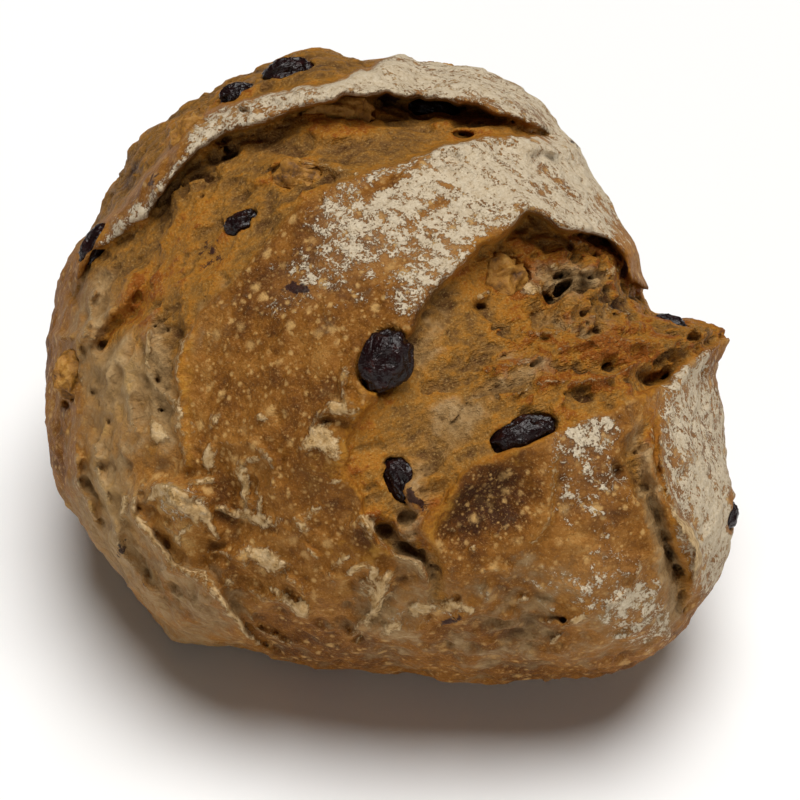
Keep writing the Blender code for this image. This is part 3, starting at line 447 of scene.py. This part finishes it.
def lattice_noise(points, cell, seed):
    """Smooth noise between -1 and 1 from random values at the corners of cubes of the given size."""
    table = np.random.default_rng(seed).uniform(-1.0, 1.0, (16, 16, 16)).ravel()
    place = points / cell
    corner = np.floor(place).astype(int)
    t = place - corner
    t = t * t * (3.0 - 2.0 * t)
    total = np.zeros(points.shape[:-1])
    for dx, dy, dz in np.ndindex(2, 2, 2):
        x, y, z = ((corner[..., axis] + step) % 16 for axis, step in enumerate((dx, dy, dz)))
        weight = (t[..., 0] if dx else 1 - t[..., 0]) * (t[..., 1] if dy else 1 - t[..., 1])
        weight *= t[..., 2] if dz else 1 - t[..., 2]
        total += weight * table[(x * 16 + y) * 16 + z]
    return total


def ridges(points, cell, seed):
    return 1 - 2 * np.abs(lattice_noise(points, cell, seed))


def ragged_grid():
    """The square grid that the maps are drawn on, with its corners strayed so that edges come out torn."""
    axis = np.arange(GRID_LOW, GRID_HIGH + GRID_STEP / 2, GRID_STEP)
    u, v = np.meshgrid(axis, axis)
    places = np.stack((u, v, np.zeros_like(u)), axis=-1)
    for stray, cell, seed in RAGGED:
        u = u + stray * lattice_noise(places, cell, seed)
        v = v + stray * lattice_noise(places, cell, seed + 100)
    return u, v


class Plane:
    """A drawing plane, with its square grid of cell corners U, V."""

    U, V = ragged_grid()

    def __init__(self, turn, height):
        (ca, sa), (ce, se) = cos_sin(turn), cos_sin(height)
        self.toward = np.array((sa * ce, -ca * ce, se))
        self.right = np.array((ca, sa, 0.0))
        self.up = np.cross(self.toward, self.right)

    def coordinates(self, points):
        offset = points - DRAWING_MIDDLE
        spread = DRAWING_REACH / (DRAWING_REACH - offset @ self.toward)
        return (offset @ self.right) * spread, (offset @ self.up) * spread

    def turned(self, turn):
        """The directions to the right and up on the plane, turned by that many degrees."""
        c, s = cos_sin(turn)
        return c * self.right + s * self.up, c * self.up - s * self.right


FRONT, REAR = Plane(*FRONT_VIEW), Plane(*REAR_VIEW)


def read_grid(grid, u, v):
    top = grid.shape[0] - 1.001
    x = np.clip((u - GRID_LOW) / GRID_STEP, 0.0, top)
    y = np.clip((v - GRID_LOW) / GRID_STEP, 0.0, top)
    i, j = x.astype(int), y.astype(int)
    x, y = x - i, y - j
    low = grid[j, i] * (1 - x) + grid[j, i + 1] * x
    high = grid[j + 1, i] * (1 - x) + grid[j + 1, i + 1] * x
    return low * (1 - y) + high * y


def soften(grid, spread):
    reach = int(3 * spread / GRID_STEP) + 1
    kernel = np.exp(-0.5 * (np.arange(-reach, reach + 1) * GRID_STEP / spread) ** 2)
    kernel /= kernel.sum()
    for axis in (0, 1):
        wide = np.pad(grid, [(reach, reach) if k == axis else (0, 0) for k in (0, 1)], mode="edge")
        grid = sum(k * np.roll(wide, -n, axis) for n, k in enumerate(kernel))
        grid = grid[: Plane.U.shape[0], : Plane.U.shape[1]]
    return grid


def nearest_on(curve):
    """Each grid corner's distance to the curve, the side it is on, and the curve's further columns there."""
    best = np.full(Plane.U.shape, 1e9)
    side = np.zeros(Plane.U.shape)
    values = np.zeros((curve.shape[1] - 2, *Plane.U.shape))
    for a, b in zip(curve[:-1], curve[1:]):
        du, dv = b[:2] - a[:2]
        t = ((Plane.U - a[0]) * du + (Plane.V - a[1]) * dv) / (du * du + dv * dv)
        t = np.clip(t, 0.0, 1.0)
        gap_u, gap_v = Plane.U - a[0] - t * du, Plane.V - a[1] - t * dv
        gap = gap_u ** 2 + gap_v ** 2
        closer = gap < best
        best[closer] = gap[closer]
        side[closer] = np.sign(gap_u * dv - gap_v * du)[closer]
        for value, start, end in zip(values, a[2:], b[2:]):
            value[closer] = start + (end - start) * t[closer]
    return np.sqrt(best), side, values


def within(outline):
    """Grid corners inside a closed outline."""
    crossed = np.zeros(Plane.U.shape, bool)
    for (ua, va), (ub, vb) in zip(outline, np.roll(outline, -1, axis=0)):
        if va == vb:
            continue
        beyond = Plane.U < ua + (ub - ua) * (Plane.V - va) / (vb - va)
        crossed ^= ((va > Plane.V) != (vb > Plane.V)) & beyond
    return crossed


def cut(lip, heel, foot):
    """A burst cut: where it is open, its drop there, and the crust's rise beside it."""
    lip, heel = spline(lip), spline(heel)
    is_open = within(np.vstack((lip[:, :2], heel[::-1, :2])))
    to_lip, _, (lift, wall, deepest) = nearest_on(lip)
    to_heel, _, (rim, heel_drop) = nearest_on(heel)
    t = to_lip / (to_lip + to_heel + 1e-6)
    drop = wall + (deepest - wall) * smoothstep(t, 0.0, foot)
    drop += (heel_drop - drop) * smoothstep(t, foot, 1.0)
    rise = lift * np.exp(-to_lip / LIP_REACH) + rim * np.exp(-to_heel / HEEL_REACH)
    return is_open, drop, rise


def tapered(route):
    """A smooth curve whose further column fades from 1 to 0 towards both ends."""
    curve = spline(route)
    along = np.linspace(0.0, 1.0, len(curve))
    return np.column_stack((curve, smoothstep(np.minimum(along, 1 - along), 0.0, 0.2)))


def crease(width, depth, rim, route):
    distance, _, (strength,) = nearest_on(tapered(route))
    away = distance / width
    return strength * (rim * np.exp(-(away - 2) ** 2) - depth * np.exp(-away ** 2))


def flap(height, reach, route):
    distance, side, (strength,) = nearest_on(tapered(route))
    return np.where(side > 0, height * strength * np.exp(-distance / reach), 0.0)


def oval(u, v, half_length, half_width, turn):
    """How far each grid corner is along and across a turned oval, as a share of its half sizes."""
    c, s = cos_sin(turn)
    along = ((Plane.U - u) * c + (Plane.V - v) * s) / half_length
    across = ((Plane.V - v) * c - (Plane.U - u) * s) / half_width
    return along, across


def swelling(*place, height):
    along, across = oval(*place)
    return height * np.clip(1 - along ** 2 - across ** 2, 0.0, 1.0) ** 1.5


def drawn(dabs, ground=0.0):
    """A map of soft-edged dabs over a ground value."""
    shade = np.full(Plane.U.shape, ground)
    for *place, strength in dabs:
        along, across = oval(*place)
        shade += strength * np.exp(-(along ** 2 + across ** 2) ** 1.5)
    return shade


def pits(places):
    relief = np.zeros(Plane.U.shape)
    for u, v, half_width, half_height, depth in places:
        away = ((Plane.U - u) / half_width) ** 2 + ((Plane.V - v) / half_height) ** 2
        relief -= depth * np.exp(-away ** 2)
    return relief


def rim_rise():
    u, v = Plane.U - RIM_MIDDLE[0], Plane.V - RIM_MIDDLE[1]
    turns, rises = np.array(RIM_RISE, float).T
    rise = np.interp(np.degrees(np.arctan2(v, u)), turns, rises, period=360)
    return soften(rise * smoothstep(np.hypot(u, v), *RIM_FADE), RIM_SOFTEN)


def fine_lines(ridges_drawn):
    """The relief of the small folds and ridges."""
    return sum(crease(width, -height * (RIDGE_GAIN if height > 0 else CREASE_GAIN), 0.0, route)
               for width, height, route in ridges_drawn)


def inside_cracks(creases):
    """How much of the torn inside shows in the cracks."""
    depth = sum(crease(width, 1.0, 0.0, route) for width, _, _, route in creases)
    return np.clip(-CRACK_TEAR * depth, 0, 1)


def edge_bands(cuts, lip_band, heel_band):
    """Bands of bare, toasted crust along the lips and the heels."""
    bands = np.zeros(Plane.U.shape)
    for lip, heel, _ in cuts:
        for edge, reach in ((lip, lip_band), (heel, heel_band)):
            if reach:
                distance, _, values = nearest_on(spline(edge))
                bands = np.maximum(bands, np.clip(values[0], 0, 1) * np.exp(-(distance / reach) ** 2))
    return bands


def fold_edges(flaps, reach):
    """Bands along the standing edges of the crust's folds."""
    bands = np.zeros(Plane.U.shape)
    for _, _, route in flaps:
        distance, _, (strength,) = nearest_on(tapered(route))
        bands = np.maximum(bands, strength * np.exp(-(distance / reach) ** 2))
    return bands


def side_maps(cuts, creases, flaps, swellings, small_ridges, holes, healed, dabs):
    """The relief and the colour maps of one plane."""
    opened = [cut(*shape) for shape in cuts]
    torn = np.any([is_open for is_open, _, _ in opened], axis=0)
    relief = np.zeros(Plane.U.shape)
    for is_open, drop, rise in opened:
        relief += np.where(is_open, -drop, np.where(torn, 0.0, rise))
    relief += sum(crease(*shape) for shape in creases)
    relief += sum(flap(*shape) for shape in flaps)
    relief += sum(swelling(*place, height=height) for *place, height in swellings)
    lines = fine_lines(small_ridges)
    relief = soften(relief, SOFTEN) + pits(holes) + lines

    maps = {name: drawn(places, GROUND.get(name, 0.0)) for name, places in dabs.items()}
    maps["bake"] += LIP_BROWNING * edge_bands(cuts, LIP_BAND, 0.0)
    # Darker colour along the small creases.
    maps["bake"] += CREASE_DARKENING * np.clip(-lines, 0, 1)
    maps["chip"] += FOLD_PALENESS * fold_edges(flaps, PALE_EDGE)
    maps["chip"] += RIDGE_PALENESS * np.clip(lines, 0, 1)
    maps["orange"] += RIM_GLOW * edge_bands(cuts, LIP_BAND, HEEL_BAND)
    maps["orange"] += RIM_GLOW * fold_edges(flaps, TOASTED_EDGE)
    still_torn = soften(torn.astype(float), SOFTEN) * (1 - np.clip(drawn(healed), 0, 1))
    maps["torn"] = np.maximum(still_torn, inside_cracks(creases))
    maps["relief"] = relief
    maps["cavity"] = relief - soften(relief, CAVITY_SPREAD)
    return maps


FRONT_RIM = rim_rise()
FRONT_MAPS = side_maps(FRONT_CUTS, FRONT_CREASES, FRONT_FLAPS, FRONT_SWELLINGS, FRONT_RIDGES, FRONT_PITS,
                       FRONT_HEALED, FRONT_DABS)
REAR_MAPS = side_maps(REAR_CUTS, REAR_CREASES, [], REAR_SWELLINGS, REAR_RIDGES, REAR_PITS, [], REAR_DABS)


# ---- The dough's surface.
def dome(points):
    """Distance from the plain dome, and the dome's outward direction."""
    x, y, z = points[..., 0], points[..., 1], points[..., 2] - WAIST_HEIGHT
    reach = np.where(z > 0, LOAF_HEIGHT - WAIST_HEIGHT, UNDERSIDE_REACH)
    across = np.sqrt((x / (LOAF_WIDTH / 2)) ** 2 + (y / (LOAF_LENGTH / 2)) ** 2) + 1e-6
    rise = np.abs(z / reach) + 1e-6
    size = (across ** DOME_POWER + rise ** DOME_POWER) ** (1 / DOME_POWER)
    side = (across / size) ** (DOME_POWER - 1) / across
    slope = np.stack((side * x / (LOAF_WIDTH / 2) ** 2, side * y / (LOAF_LENGTH / 2) ** 2,
                      (rise / size) ** (DOME_POWER - 1) * np.sign(z) / reach), axis=-1)
    steepness = np.linalg.norm(slope, axis=-1)
    return (size - 1) / steepness, slope / steepness[..., None]


def placed(points):
    """Each point's distance from the dome, and its place: how much it belongs to the front plane, and
    where it is on both planes."""
    distance, outward = dome(points)
    seen = smoothstep(outward @ FRONT.toward, *FRONT_FADE)
    return distance, (seen, FRONT.coordinates(points), REAR.coordinates(points))


def read_map(name, place):
    seen, on_front, on_rear = place
    return seen * read_grid(FRONT_MAPS[name], *on_front) + (1 - seen) * read_grid(REAR_MAPS[name], *on_rear)


def broad_level(points):
    """Below zero inside the dough, above zero outside it, before its fine texture."""
    distance, place = placed(points)
    relief = read_map("relief", place)
    relief += sum(height * lattice_noise(points, cell, seed) for height, cell, seed in LUMPS)
    relief *= smoothstep(points[..., 2], 0.0, FOOT_ROUNDING)
    relief += place[0] * read_grid(FRONT_RIM, *place[1])
    return smooth_max(distance - relief, -points[..., 2], FOOT_ROUNDING)


def strand_frame():
    """The front plane's axes, turned along the torn strands and drawn out along them."""
    along, across = FRONT.turned(STRAND_TURN)
    return np.column_stack((STRAND_STRETCH * along, across, FRONT.toward))


STRAND_FRAME = strand_frame()


def fine_relief(points):
    """The crumb's torn strands and hollows, and the crust's blisters, wrinkles and flakes."""
    _, place = placed(points)
    torn, flour, rags, chip = (read_map(name, place) for name in ("torn", "flour", "rags", "chip"))
    strands = points @ STRAND_FRAME
    crumb = 0.75 * ridges(strands, 3.2, 21) + 0.50 * ridges(strands, 1.7, 22)
    crumb += 0.8 * lattice_noise(points, 4.6, 23)
    crumb += 0.26 * ridges(points, 1.3, 24) - 0.75 * smoothstep(lattice_noise(points, 2.6, 25), 0.3, 0.65)
    skin = 0.85 * lattice_noise(points, 6.0, 31) + 0.62 * ridges(points, 3.6, 32)
    skin += 0.30 * lattice_noise(points, 1.6, 35)
    skin += 0.22 * ridges(points, 1.9, 36)
    skin += 0.35 * smoothstep(lattice_noise(points, 1.9, 33), 0.2, 0.6)
    skin += 0.20 * np.clip(flour, 0, 1) * lattice_noise(points, 1.3, 34)
    flakes = smoothstep(chip + 0.35 * lattice_noise(points, 1.8, 37), 0.35, 0.65)
    return rags * (torn * crumb * 1.2 + (1 - torn) * skin) + CHIP_RISE * flakes


def pieces_in_dough():
    """Each raisin's and walnut piece's node, middle in the dough's own frame, axes and half sizes. The
    axes are columns: across it, out of the crust and along it."""
    found = []
    for kind, places in (("raisin", RAISINS), ("walnut", WALNUTS)):
        for count, (side, length, width, thick, turn) in enumerate(places, start=1):
            node = f"{kind}_{count:02d}"
            low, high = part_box(node)
            middle = (np.array(low) + np.array(high)) / 2 / MM + DOUGH_SHIFT
            plane = FRONT if side == "front" else REAR
            along, across = plane.turned(turn)
            axes = np.column_stack((across, plane.toward, along))
            found.append((kind, node, middle, axes, np.array((width, thick, length))))
    return found


PIECES = pieces_in_dough()


def carve_pockets(points, dough):
    swell, distance, width = POCKET_SWELL
    for _, _, middle, axes, reach in PIECES:
        offset = (points - middle) @ axes
        near = np.max(np.abs(offset), axis=-1) < reach.max() + POCKET_REACH
        offset = offset[near]
        ratio = np.linalg.norm(offset / reach, axis=-1) + 1e-6
        slope = np.linalg.norm(offset / reach ** 2, axis=-1) + 1e-6
        away = ratio * (ratio - 1) / slope
        swollen = dough[near] - swell * np.exp(-((away - distance) / width) ** 2)
        dough[near] = smooth_max(swollen, -POCKET_EASE - away, POCKET_SOFTNESS)
    return dough


def dough_field(voxel):
    reach = np.array((LOAF_WIDTH / 2, LOAF_LENGTH / 2)) + BAND
    xs = np.arange(-reach[0], reach[0], voxel)
    ys = np.arange(-reach[1], reach[1], voxel)
    zs = np.arange(-4 * voxel, LOAF_HEIGHT + BAND, voxel)
    field = np.empty((len(xs), len(ys), len(zs)), np.float32)
    for i, x in enumerate(xs):
        points = np.stack(np.meshgrid([x], ys, zs, indexing="ij"), axis=-1)[0]
        distance, _ = dome(points)
        slab = np.clip(distance, -BAND, BAND)
        shell = np.abs(distance) < BAND
        slab[shell] = broad_level(points[shell])
        skin = np.abs(slab) < FINE_BAND
        slab[skin] -= fine_relief(points[skin]) * smoothstep(points[skin][:, 2], 0.0, FOOT_ROUNDING)
        slab[skin] = carve_pockets(points[skin], slab[skin])
        field[i] = slab
    return field, np.array((xs[0], ys[0], zs[0]))


def largest_piece(count, quads):
    """Which vertices belong to the biggest connected piece."""
    label = np.arange(count)
    while True:
        lowest = label[quads].min(axis=1)
        joined = label.copy()
        np.minimum.at(joined, quads.ravel(), np.repeat(lowest, 4))
        joined = joined[joined]
        if np.array_equal(joined, label):
            return label == np.bincount(label).argmax()
        label = joined


def dough_mesh(voxel):
    field, corner = dough_field(voxel)
    grid = openvdb.FloatGrid(BAND)
    grid.copyFromArray(field)
    vertices, quads = grid.convertToQuads(0.0)
    vertices = vertices * voxel + corner - DOUGH_SHIFT
    vertices[:, 2] = np.maximum(vertices[:, 2], 0.0)
    kept = largest_piece(len(vertices), quads)
    quads = quads[kept[quads[:, 0]]]
    renumber = np.cumsum(kept) - 1
    mesh = bpy.data.meshes.new("loaf_skin")
    mesh.from_pydata((vertices[kept] * MM).tolist(), [], renumber[quads].tolist())
    mesh.shade_smooth()
    return mesh


def add_object(name, mesh, surface):
    item = bpy.data.objects.new(name, mesh)
    bpy.context.collection.objects.link(item)
    mesh.materials.append(surface)
    return item


def settle(item):
    """Apply the object's modifiers to its mesh."""
    bpy.context.view_layer.update()
    mesh = bpy.data.meshes.new_from_object(item.evaluated_get(bpy.context.evaluated_depsgraph_get()))
    item.modifiers.clear()
    item.data = mesh


def vertex_places(mesh):
    places = np.empty(len(mesh.vertices) * 3)
    mesh.vertices.foreach_get("co", places)
    return places.reshape(-1, 3)


def paint(mesh):
    """Store the colour maps on the vertices, as the colour attributes that the crust's shader reads."""
    points = vertex_places(mesh) / MM + DOUGH_SHIFT
    _, place = placed(points)
    maps = {name: read_map(name, place) for name in FRONT_MAPS}
    halo = np.zeros(len(points))
    strength, cell, seed = HALO_STRAY
    stray = strength * lattice_noise(points, cell, seed)
    for _, _, middle, axes, reach in PIECES:
        ratio = np.linalg.norm(((points - middle) @ axes) / (reach + HALO_REACH), axis=-1) + stray
        halo = np.maximum(halo, 1 - smoothstep(ratio, *HALO_FADE))
    under = 1 - smoothstep(points[:, 2], *UNDER_FADE)
    # The height value is painted shade: the crust's shader darkens the hollows with it and lightens the
    # raised parts.
    height = 0.5 + CAVITY_SHADE * np.clip(maps["cavity"], -0.6, 1.0) + FINE_SHADE * fine_relief(points)
    layers = {
        "crust": (maps["flour"] * (1 - maps["torn"]) * (1 - 0.8 * halo), maps["bake"] - 0.15 * under,
                  maps["torn"]),
        "tint_and_shade": (maps["grey"] + 0.3 * under, maps["orange"] + 0.6 * halo, height),
        "marks": (maps["stain"], maps["chip"], maps["rags"] / 2)}
    for name, channels in layers.items():
        layer = mesh.color_attributes.new(name, "FLOAT_COLOR", "POINT")
        values = np.ones((len(points), 4))
        values[:, :3] = np.clip(np.column_stack(channels), 0.0, 1.0)
        layer.data.foreach_set("color", values.ravel())


# ---- Materials.
class Shader:
    """A material's node tree, built from the inputs outwards."""

    def __init__(self, name):
        self.material = bpy.data.materials.new(name)
        self.material.use_nodes = True
        self.tree = self.material.node_tree
        self.surface = self.tree.nodes["Principled BSDF"]

    def node(self, kind, inputs=(), **settings):
        made = self.tree.nodes.new(kind)
        for name, value in settings.items():
            setattr(made, name, value)
        for slot, value in dict(inputs).items():
            self.join(value, made.inputs[slot])
        return made

    def join(self, value, socket):
        if isinstance(value, bpy.types.NodeSocket):
            self.tree.links.new(value, socket)
        else:
            socket.default_value = value

    def math(self, operation, a, b):
        return self.node("ShaderNodeMath", {0: a, 1: b}, operation=operation).outputs[0]

    def plus(self, total, *terms):
        """The total and each further term, which is a value or a value with its weight."""
        for term in terms:
            if isinstance(term, tuple):
                term = self.times(*term)
            total = self.math("ADD", total, term)
        return total

    def minus(self, a, b):
        return self.math("SUBTRACT", a, b)

    def times(self, a, b):
        return self.math("MULTIPLY", a, b)

    def step(self, value, low, high):
        """0 below low, 1 above high, smooth between."""
        inputs = {"Value": value, "From Min": low, "From Max": high}
        return self.node("ShaderNodeMapRange", inputs, interpolation_type="SMOOTHSTEP").outputs["Result"]

    def cover(self, share, below, above, strength=1.0):
        """The colour above laid over the one below, as far as its share times its strength."""
        made = self.node("ShaderNodeMix", data_type="RGBA", blend_type="MIX", clamp_factor=True)
        share = share if strength == 1.0 else self.times(share, strength)
        for slot, value in ((0, share), (6, below), (7, above)):
            self.join(value, made.inputs[slot])
        return made.outputs[2]

    def places(self):
        return self.node("ShaderNodeTexCoord").outputs["Object"]

    def noise(self, where, scale, detail, roughness, distortion=0.0):
        inputs = {"Vector": where, "Scale": scale, "Detail": detail, "Roughness": roughness,
                  "Distortion": distortion}
        return self.node("ShaderNodeTexNoise", inputs).outputs["Fac"]

    def centred(self, where, scale, detail, roughness):
        """Noise with its middle at zero."""
        return self.minus(self.noise(where, scale, detail, roughness), 0.5)

    def stretched(self, where, turn, stretch):
        """Places measured along the front plane's own axes, turned and drawn out along the first."""
        along, across = FRONT.turned(turn)
        parts = []
        for axis in (stretch * along, across, FRONT.toward):
            inputs = {0: where, 1: tuple(axis)}
            parts.append(self.node("ShaderNodeVectorMath", inputs, operation="DOT_PRODUCT").outputs["Value"])
        return self.node("ShaderNodeCombineXYZ", dict(enumerate(parts))).outputs[0]

    def ramp(self, value, stops):
        made = self.node("ShaderNodeValToRGB", {"Fac": value})
        elements = made.color_ramp.elements
        while len(elements) < len(stops):
            elements.new(0.5)
        for element, (place, colour) in zip(elements, stops):
            element.position = place
            element.color = (*colour, 1.0)
        return made.outputs["Color"]

    def split(self, colour):
        return list(self.node("ShaderNodeSeparateColor", {"Color": colour}).outputs)[:3]

    def channels(self, layer):
        return self.split(self.node("ShaderNodeAttribute", attribute_name=layer).outputs["Color"])

    def finish(self, colour, roughness, height=None, depth=0.0, shine=None):
        """Set the surface, with the height as a bump of that depth."""
        self.join(colour, self.surface.inputs["Base Color"])
        self.join(roughness, self.surface.inputs["Roughness"])
        if shine is not None:
            bump = self.node("ShaderNodeBump", {"Height": height, "Distance": depth, "Strength": 1.0})
            self.join(bump.outputs["Normal"], self.surface.inputs["Normal"])
            self.join(shine, self.surface.inputs["Specular IOR Level"])
        return self.material


def crust_material():
    s = Shader("crust_skin")
    where = s.places()
    flour, bake, torn = s.channels("crust")
    grey, orange, height = s.channels("tint_and_shade")
    stain, chip, rags = s.channels("marks")
    broad, patches, middling, fine, finest = (s.centred(where, *noise) for noise in CRUST_NOISES)
    streaks = s.centred(s.stretched(where, FLOUR_STREAK_TURN, FLOUR_STREAK_STRETCH), *STREAK_NOISE)
    strands = s.centred(s.stretched(where, STRAND_TURN, STRAND_STRETCH), *STRAND_NOISE)
    # lift carries the painted shade: it mostly darkens the colours in the hollows and lightens them on the
    # raised parts.
    lift = s.minus(height, 0.5)

    # The baked skin, with its pale flecks and its orange glow.
    browning = s.plus(bake, (broad, 0.7), (middling, 0.9), (fine, 0.6), (lift, -0.3))
    crust = s.ramp(browning, CRUST_STOPS)
    for scale, low, share in FLECKS:
        cells = s.node("ShaderNodeTexVoronoi", {"Vector": where, "Scale": scale, "Randomness": 1.0}).outputs
        fleck = s.minus(1.0, s.step(s.plus(cells["Distance"], (fine, 0.5)), 0.08, 0.36))
        fleck = s.times(fleck, s.step(s.split(cells["Color"])[0], low, low + 0.3))
        crust = s.cover(s.times(fleck, s.minus(share, s.times(grey, 0.5))), crust, PALE_FLECK)
    crust = s.cover(s.step(finest, 0.05, 0.2), crust, PALE_FLECK, 0.45)
    crust = s.cover(s.step(finest, -0.06, -0.2), crust, DEEP_SHADE, 0.45)
    glow = s.step(s.plus(orange, (middling, 1.2), (fine, 0.6)), 0.35, 0.95)
    crust = s.cover(glow, crust, s.ramp(s.plus(0.5, fine, middling), ORANGE_STOPS), 0.8)

    # The torn crumb.
    toasting = s.plus(0.34, (orange, 0.45), (middling, 0.8), (strands, s.times(rags, 1.9)), (lift, 0.8),
                      (fine, 0.9))
    crumb = s.ramp(toasting, CRUMB_STOPS)
    crumb = s.cover(s.step(finest, 0.03, 0.17), crumb, CRUMB_SPARK, 0.5)
    crumb = s.cover(s.step(finest, -0.06, -0.2), crumb, DEEP_SHADE, 0.4)

    # The ashy, less baked places on both.
    skin = s.cover(torn, crust, crumb)
    ashy = s.plus(grey, (patches, 1.3), (middling, 0.8), (lift, -0.3), (fine, 0.5), (torn, -0.06))
    pale = s.ramp(s.plus(0.47, (fine, 1.0), (streaks, 1.0), (lift, 0.6)), GREY_STOPS)
    skin = s.cover(s.step(ashy, 0.2, 0.85), skin, pale, 0.85)

    # Flour, flakes and stains, and the shade in the deepest places.
    scatter = s.plus(s.times(patches, 0.6), (middling, 0.5), (streaks, 1.9), (fine, 1.6), (finest, 1.6))
    dust = s.step(s.plus(flour, (scatter, s.plus(0.3, flour)), (lift, 0.3)), 0.38, 0.52)
    film = s.times(s.step(flour, 0.1, 0.8), 0.15)
    white = s.ramp(s.plus(0.5, (fine, 1.2), (finest, 1.0)), FLOUR_STOPS)
    skin = s.cover(s.math("MAXIMUM", s.times(dust, 0.93), film), skin, white)
    flake = s.step(s.plus(chip, (fine, 1.6), (finest, 0.6)), 0.35, 0.75)
    skin = s.cover(flake, skin, s.ramp(s.plus(0.5, (fine, 1.5)), CHIP_STOPS), 0.88)
    blot = s.step(s.plus(stain, (fine, 1.4), (middling, 0.5)), 0.4, 0.62)
    skin = s.cover(blot, skin, STAIN, 0.93)
    skin = s.cover(s.step(height, 0.40, 0.05), skin, DEEP_SHADE, 0.6)

    relief = s.plus(s.times(middling, 0.8), (fine, 0.4), (finest, 0.12), (dust, 0.07),
                    (strands, s.times(torn, s.times(rags, 1.6))), (fleck, 0.06), (flake, 0.15))
    return s.finish(skin, s.plus(0.55, (dust, 0.35), (grey, 0.15)), relief, CRUST_BUMP, CRUST_SHINE)


def raisin_material():
    s = Shader("raisin_skin")
    where = s.places()
    folds = s.noise(where, 480, 4, 0.6, 0.6)
    fine = s.noise(where, 1800, 3, 0.6)
    bloom = s.step(s.noise(where, 1500, 2, 0.5), 0.66, 0.72)
    colour = s.cover(bloom, s.ramp(folds, RAISIN_STOPS), RAISIN_BLOOM, 0.35)
    return s.finish(colour, s.plus(0.08, (fine, 0.3)), s.plus(folds, (fine, 0.25)), RAISIN_BUMP, RAISIN_SHINE)


def walnut_material():
    s = Shader("walnut_skin")
    where = s.places()
    folds = s.noise(where, 330, 4, 0.6, 0.4)
    fine = s.noise(where, 1400, 3, 0.6)
    colour = s.ramp(s.plus(folds, (s.minus(fine, 0.5), 0.4)), WALNUT_STOPS)
    return s.finish(colour, s.plus(0.4, (fine, 0.3)), s.plus(folds, (fine, 0.4)), WALNUT_BUMP, WALNUT_SHINE)


# ---- The pieces.
def add_loaf(surface):
    mesh = dough_mesh(VOXEL)
    loaf = add_object("loaf_skin", mesh, surface)
    thin = loaf.modifiers.new("thin", "DECIMATE")
    thin.ratio = min(1.0, SKIN_TRIANGLES / (2 * len(mesh.polygons)))
    settle(loaf)
    loaf.data.shade_smooth()
    paint(loaf.data)
    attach(loaf, "root")
    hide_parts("loaf")


def wrinkles(kind, unit, seed):
    """How far a unit ball's surface is pushed out, as a share of its radius."""
    if kind == "raisin":
        folds = 0.16 * ridges(unit * (1.0, 1.0, 0.55), 0.55, seed) + 0.06 * ridges(unit, 0.25, seed + 40)
        return folds + 0.05 * lattice_noise(unit, 0.8, seed + 80) - 0.13
    lobes = 0.24 * lattice_noise(unit, 0.75, seed + 120) + 0.20 * ridges(unit, 0.5, seed + 160)
    return lobes + 0.08 * lattice_noise(unit, 0.22, seed + 200) - 0.14


def add_piece(kind, node, middle, axes, reach, surface, seed):
    shape = bmesh.new()
    bmesh.ops.create_icosphere(shape, subdivisions=PIECE_SUBDIVISIONS, radius=1.0)
    mesh = bpy.data.meshes.new(node + "_skin")
    shape.to_mesh(mesh)
    shape.free()
    unit = vertex_places(mesh)
    grown = unit * (1 + wrinkles(kind, unit, seed))[:, None] * (reach + PIECE_EASE)
    points = (grown @ axes.T + middle - DOUGH_SHIFT) * MM
    mesh.vertices.foreach_set("co", points.ravel())
    mesh.shade_smooth()
    piece = add_object(node + "_skin", mesh, surface)
    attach(piece, "root")
    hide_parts(node)


# ---- The studio.
def add_floor():
    mesh = bpy.data.meshes.new("floor")
    low, high = -FLOOR_REACH, FLOOR_REACH
    mesh.from_pydata([(low, low, 0), (high, low, 0), (high, high, 0), (low, high, 0)], [], [(0, 1, 2, 3)])
    floor = add_object("floor", mesh, Shader("floor_paper").finish(FLOOR_COLOUR, 0.9))


def add_light(name, direction, strength, spread):
    lamp = bpy.data.lights.new(name, "SUN")
    lamp.energy = strength
    lamp.angle = math.radians(spread)
    lamp.color = LIGHT_COLOUR
    item = bpy.data.objects.new(name, lamp)
    right, up, toward = direction
    aim = Vector((right * FRONT.right + up * FRONT.up + toward * FRONT.toward).tolist())
    item.rotation_euler = aim.to_track_quat("Z", "Y").to_euler()
    bpy.context.collection.objects.link(item)


def add_world():
    world = bpy.data.worlds.new("studio")
    world.use_nodes = True
    sky = world.node_tree.nodes["Background"]
    sky.inputs["Color"].default_value = (1.0, 1.0, 1.0, 1.0)
    sky.inputs["Strength"].default_value = SKY_STRENGTH
    bpy.context.scene.world = world


def add_camera():
    lens = bpy.data.cameras.new("camera")
    lens.sensor_width = SENSOR_WIDTH
    lens.lens = SENSOR_WIDTH * DRAWING_REACH / PICTURE_WIDTH
    camera = bpy.data.objects.new("camera", lens)
    turn = Matrix((FRONT.right.tolist(), FRONT.up.tolist(), FRONT.toward.tolist())).transposed().to_4x4()
    place = DRAWING_MIDDLE - DOUGH_SHIFT + DRAWING_REACH * FRONT.toward
    turn.translation = Vector((place * MM).tolist())
    camera.matrix_world = turn
    bpy.context.collection.objects.link(camera)
    bpy.context.scene.camera = camera


def main():
    add_loaf(crust_material())
    finishes = {"raisin": raisin_material(), "walnut": walnut_material()}
    for seed, (kind, node, middle, axes, reach) in enumerate(PIECES):
        add_piece(kind, node, middle, axes, reach, finishes[kind], seed)
    add_floor()
    for light in LIGHTS:
        add_light(*light)
    add_world()
    add_camera()
    bpy.context.scene.view_settings.view_transform = "Standard"


main()
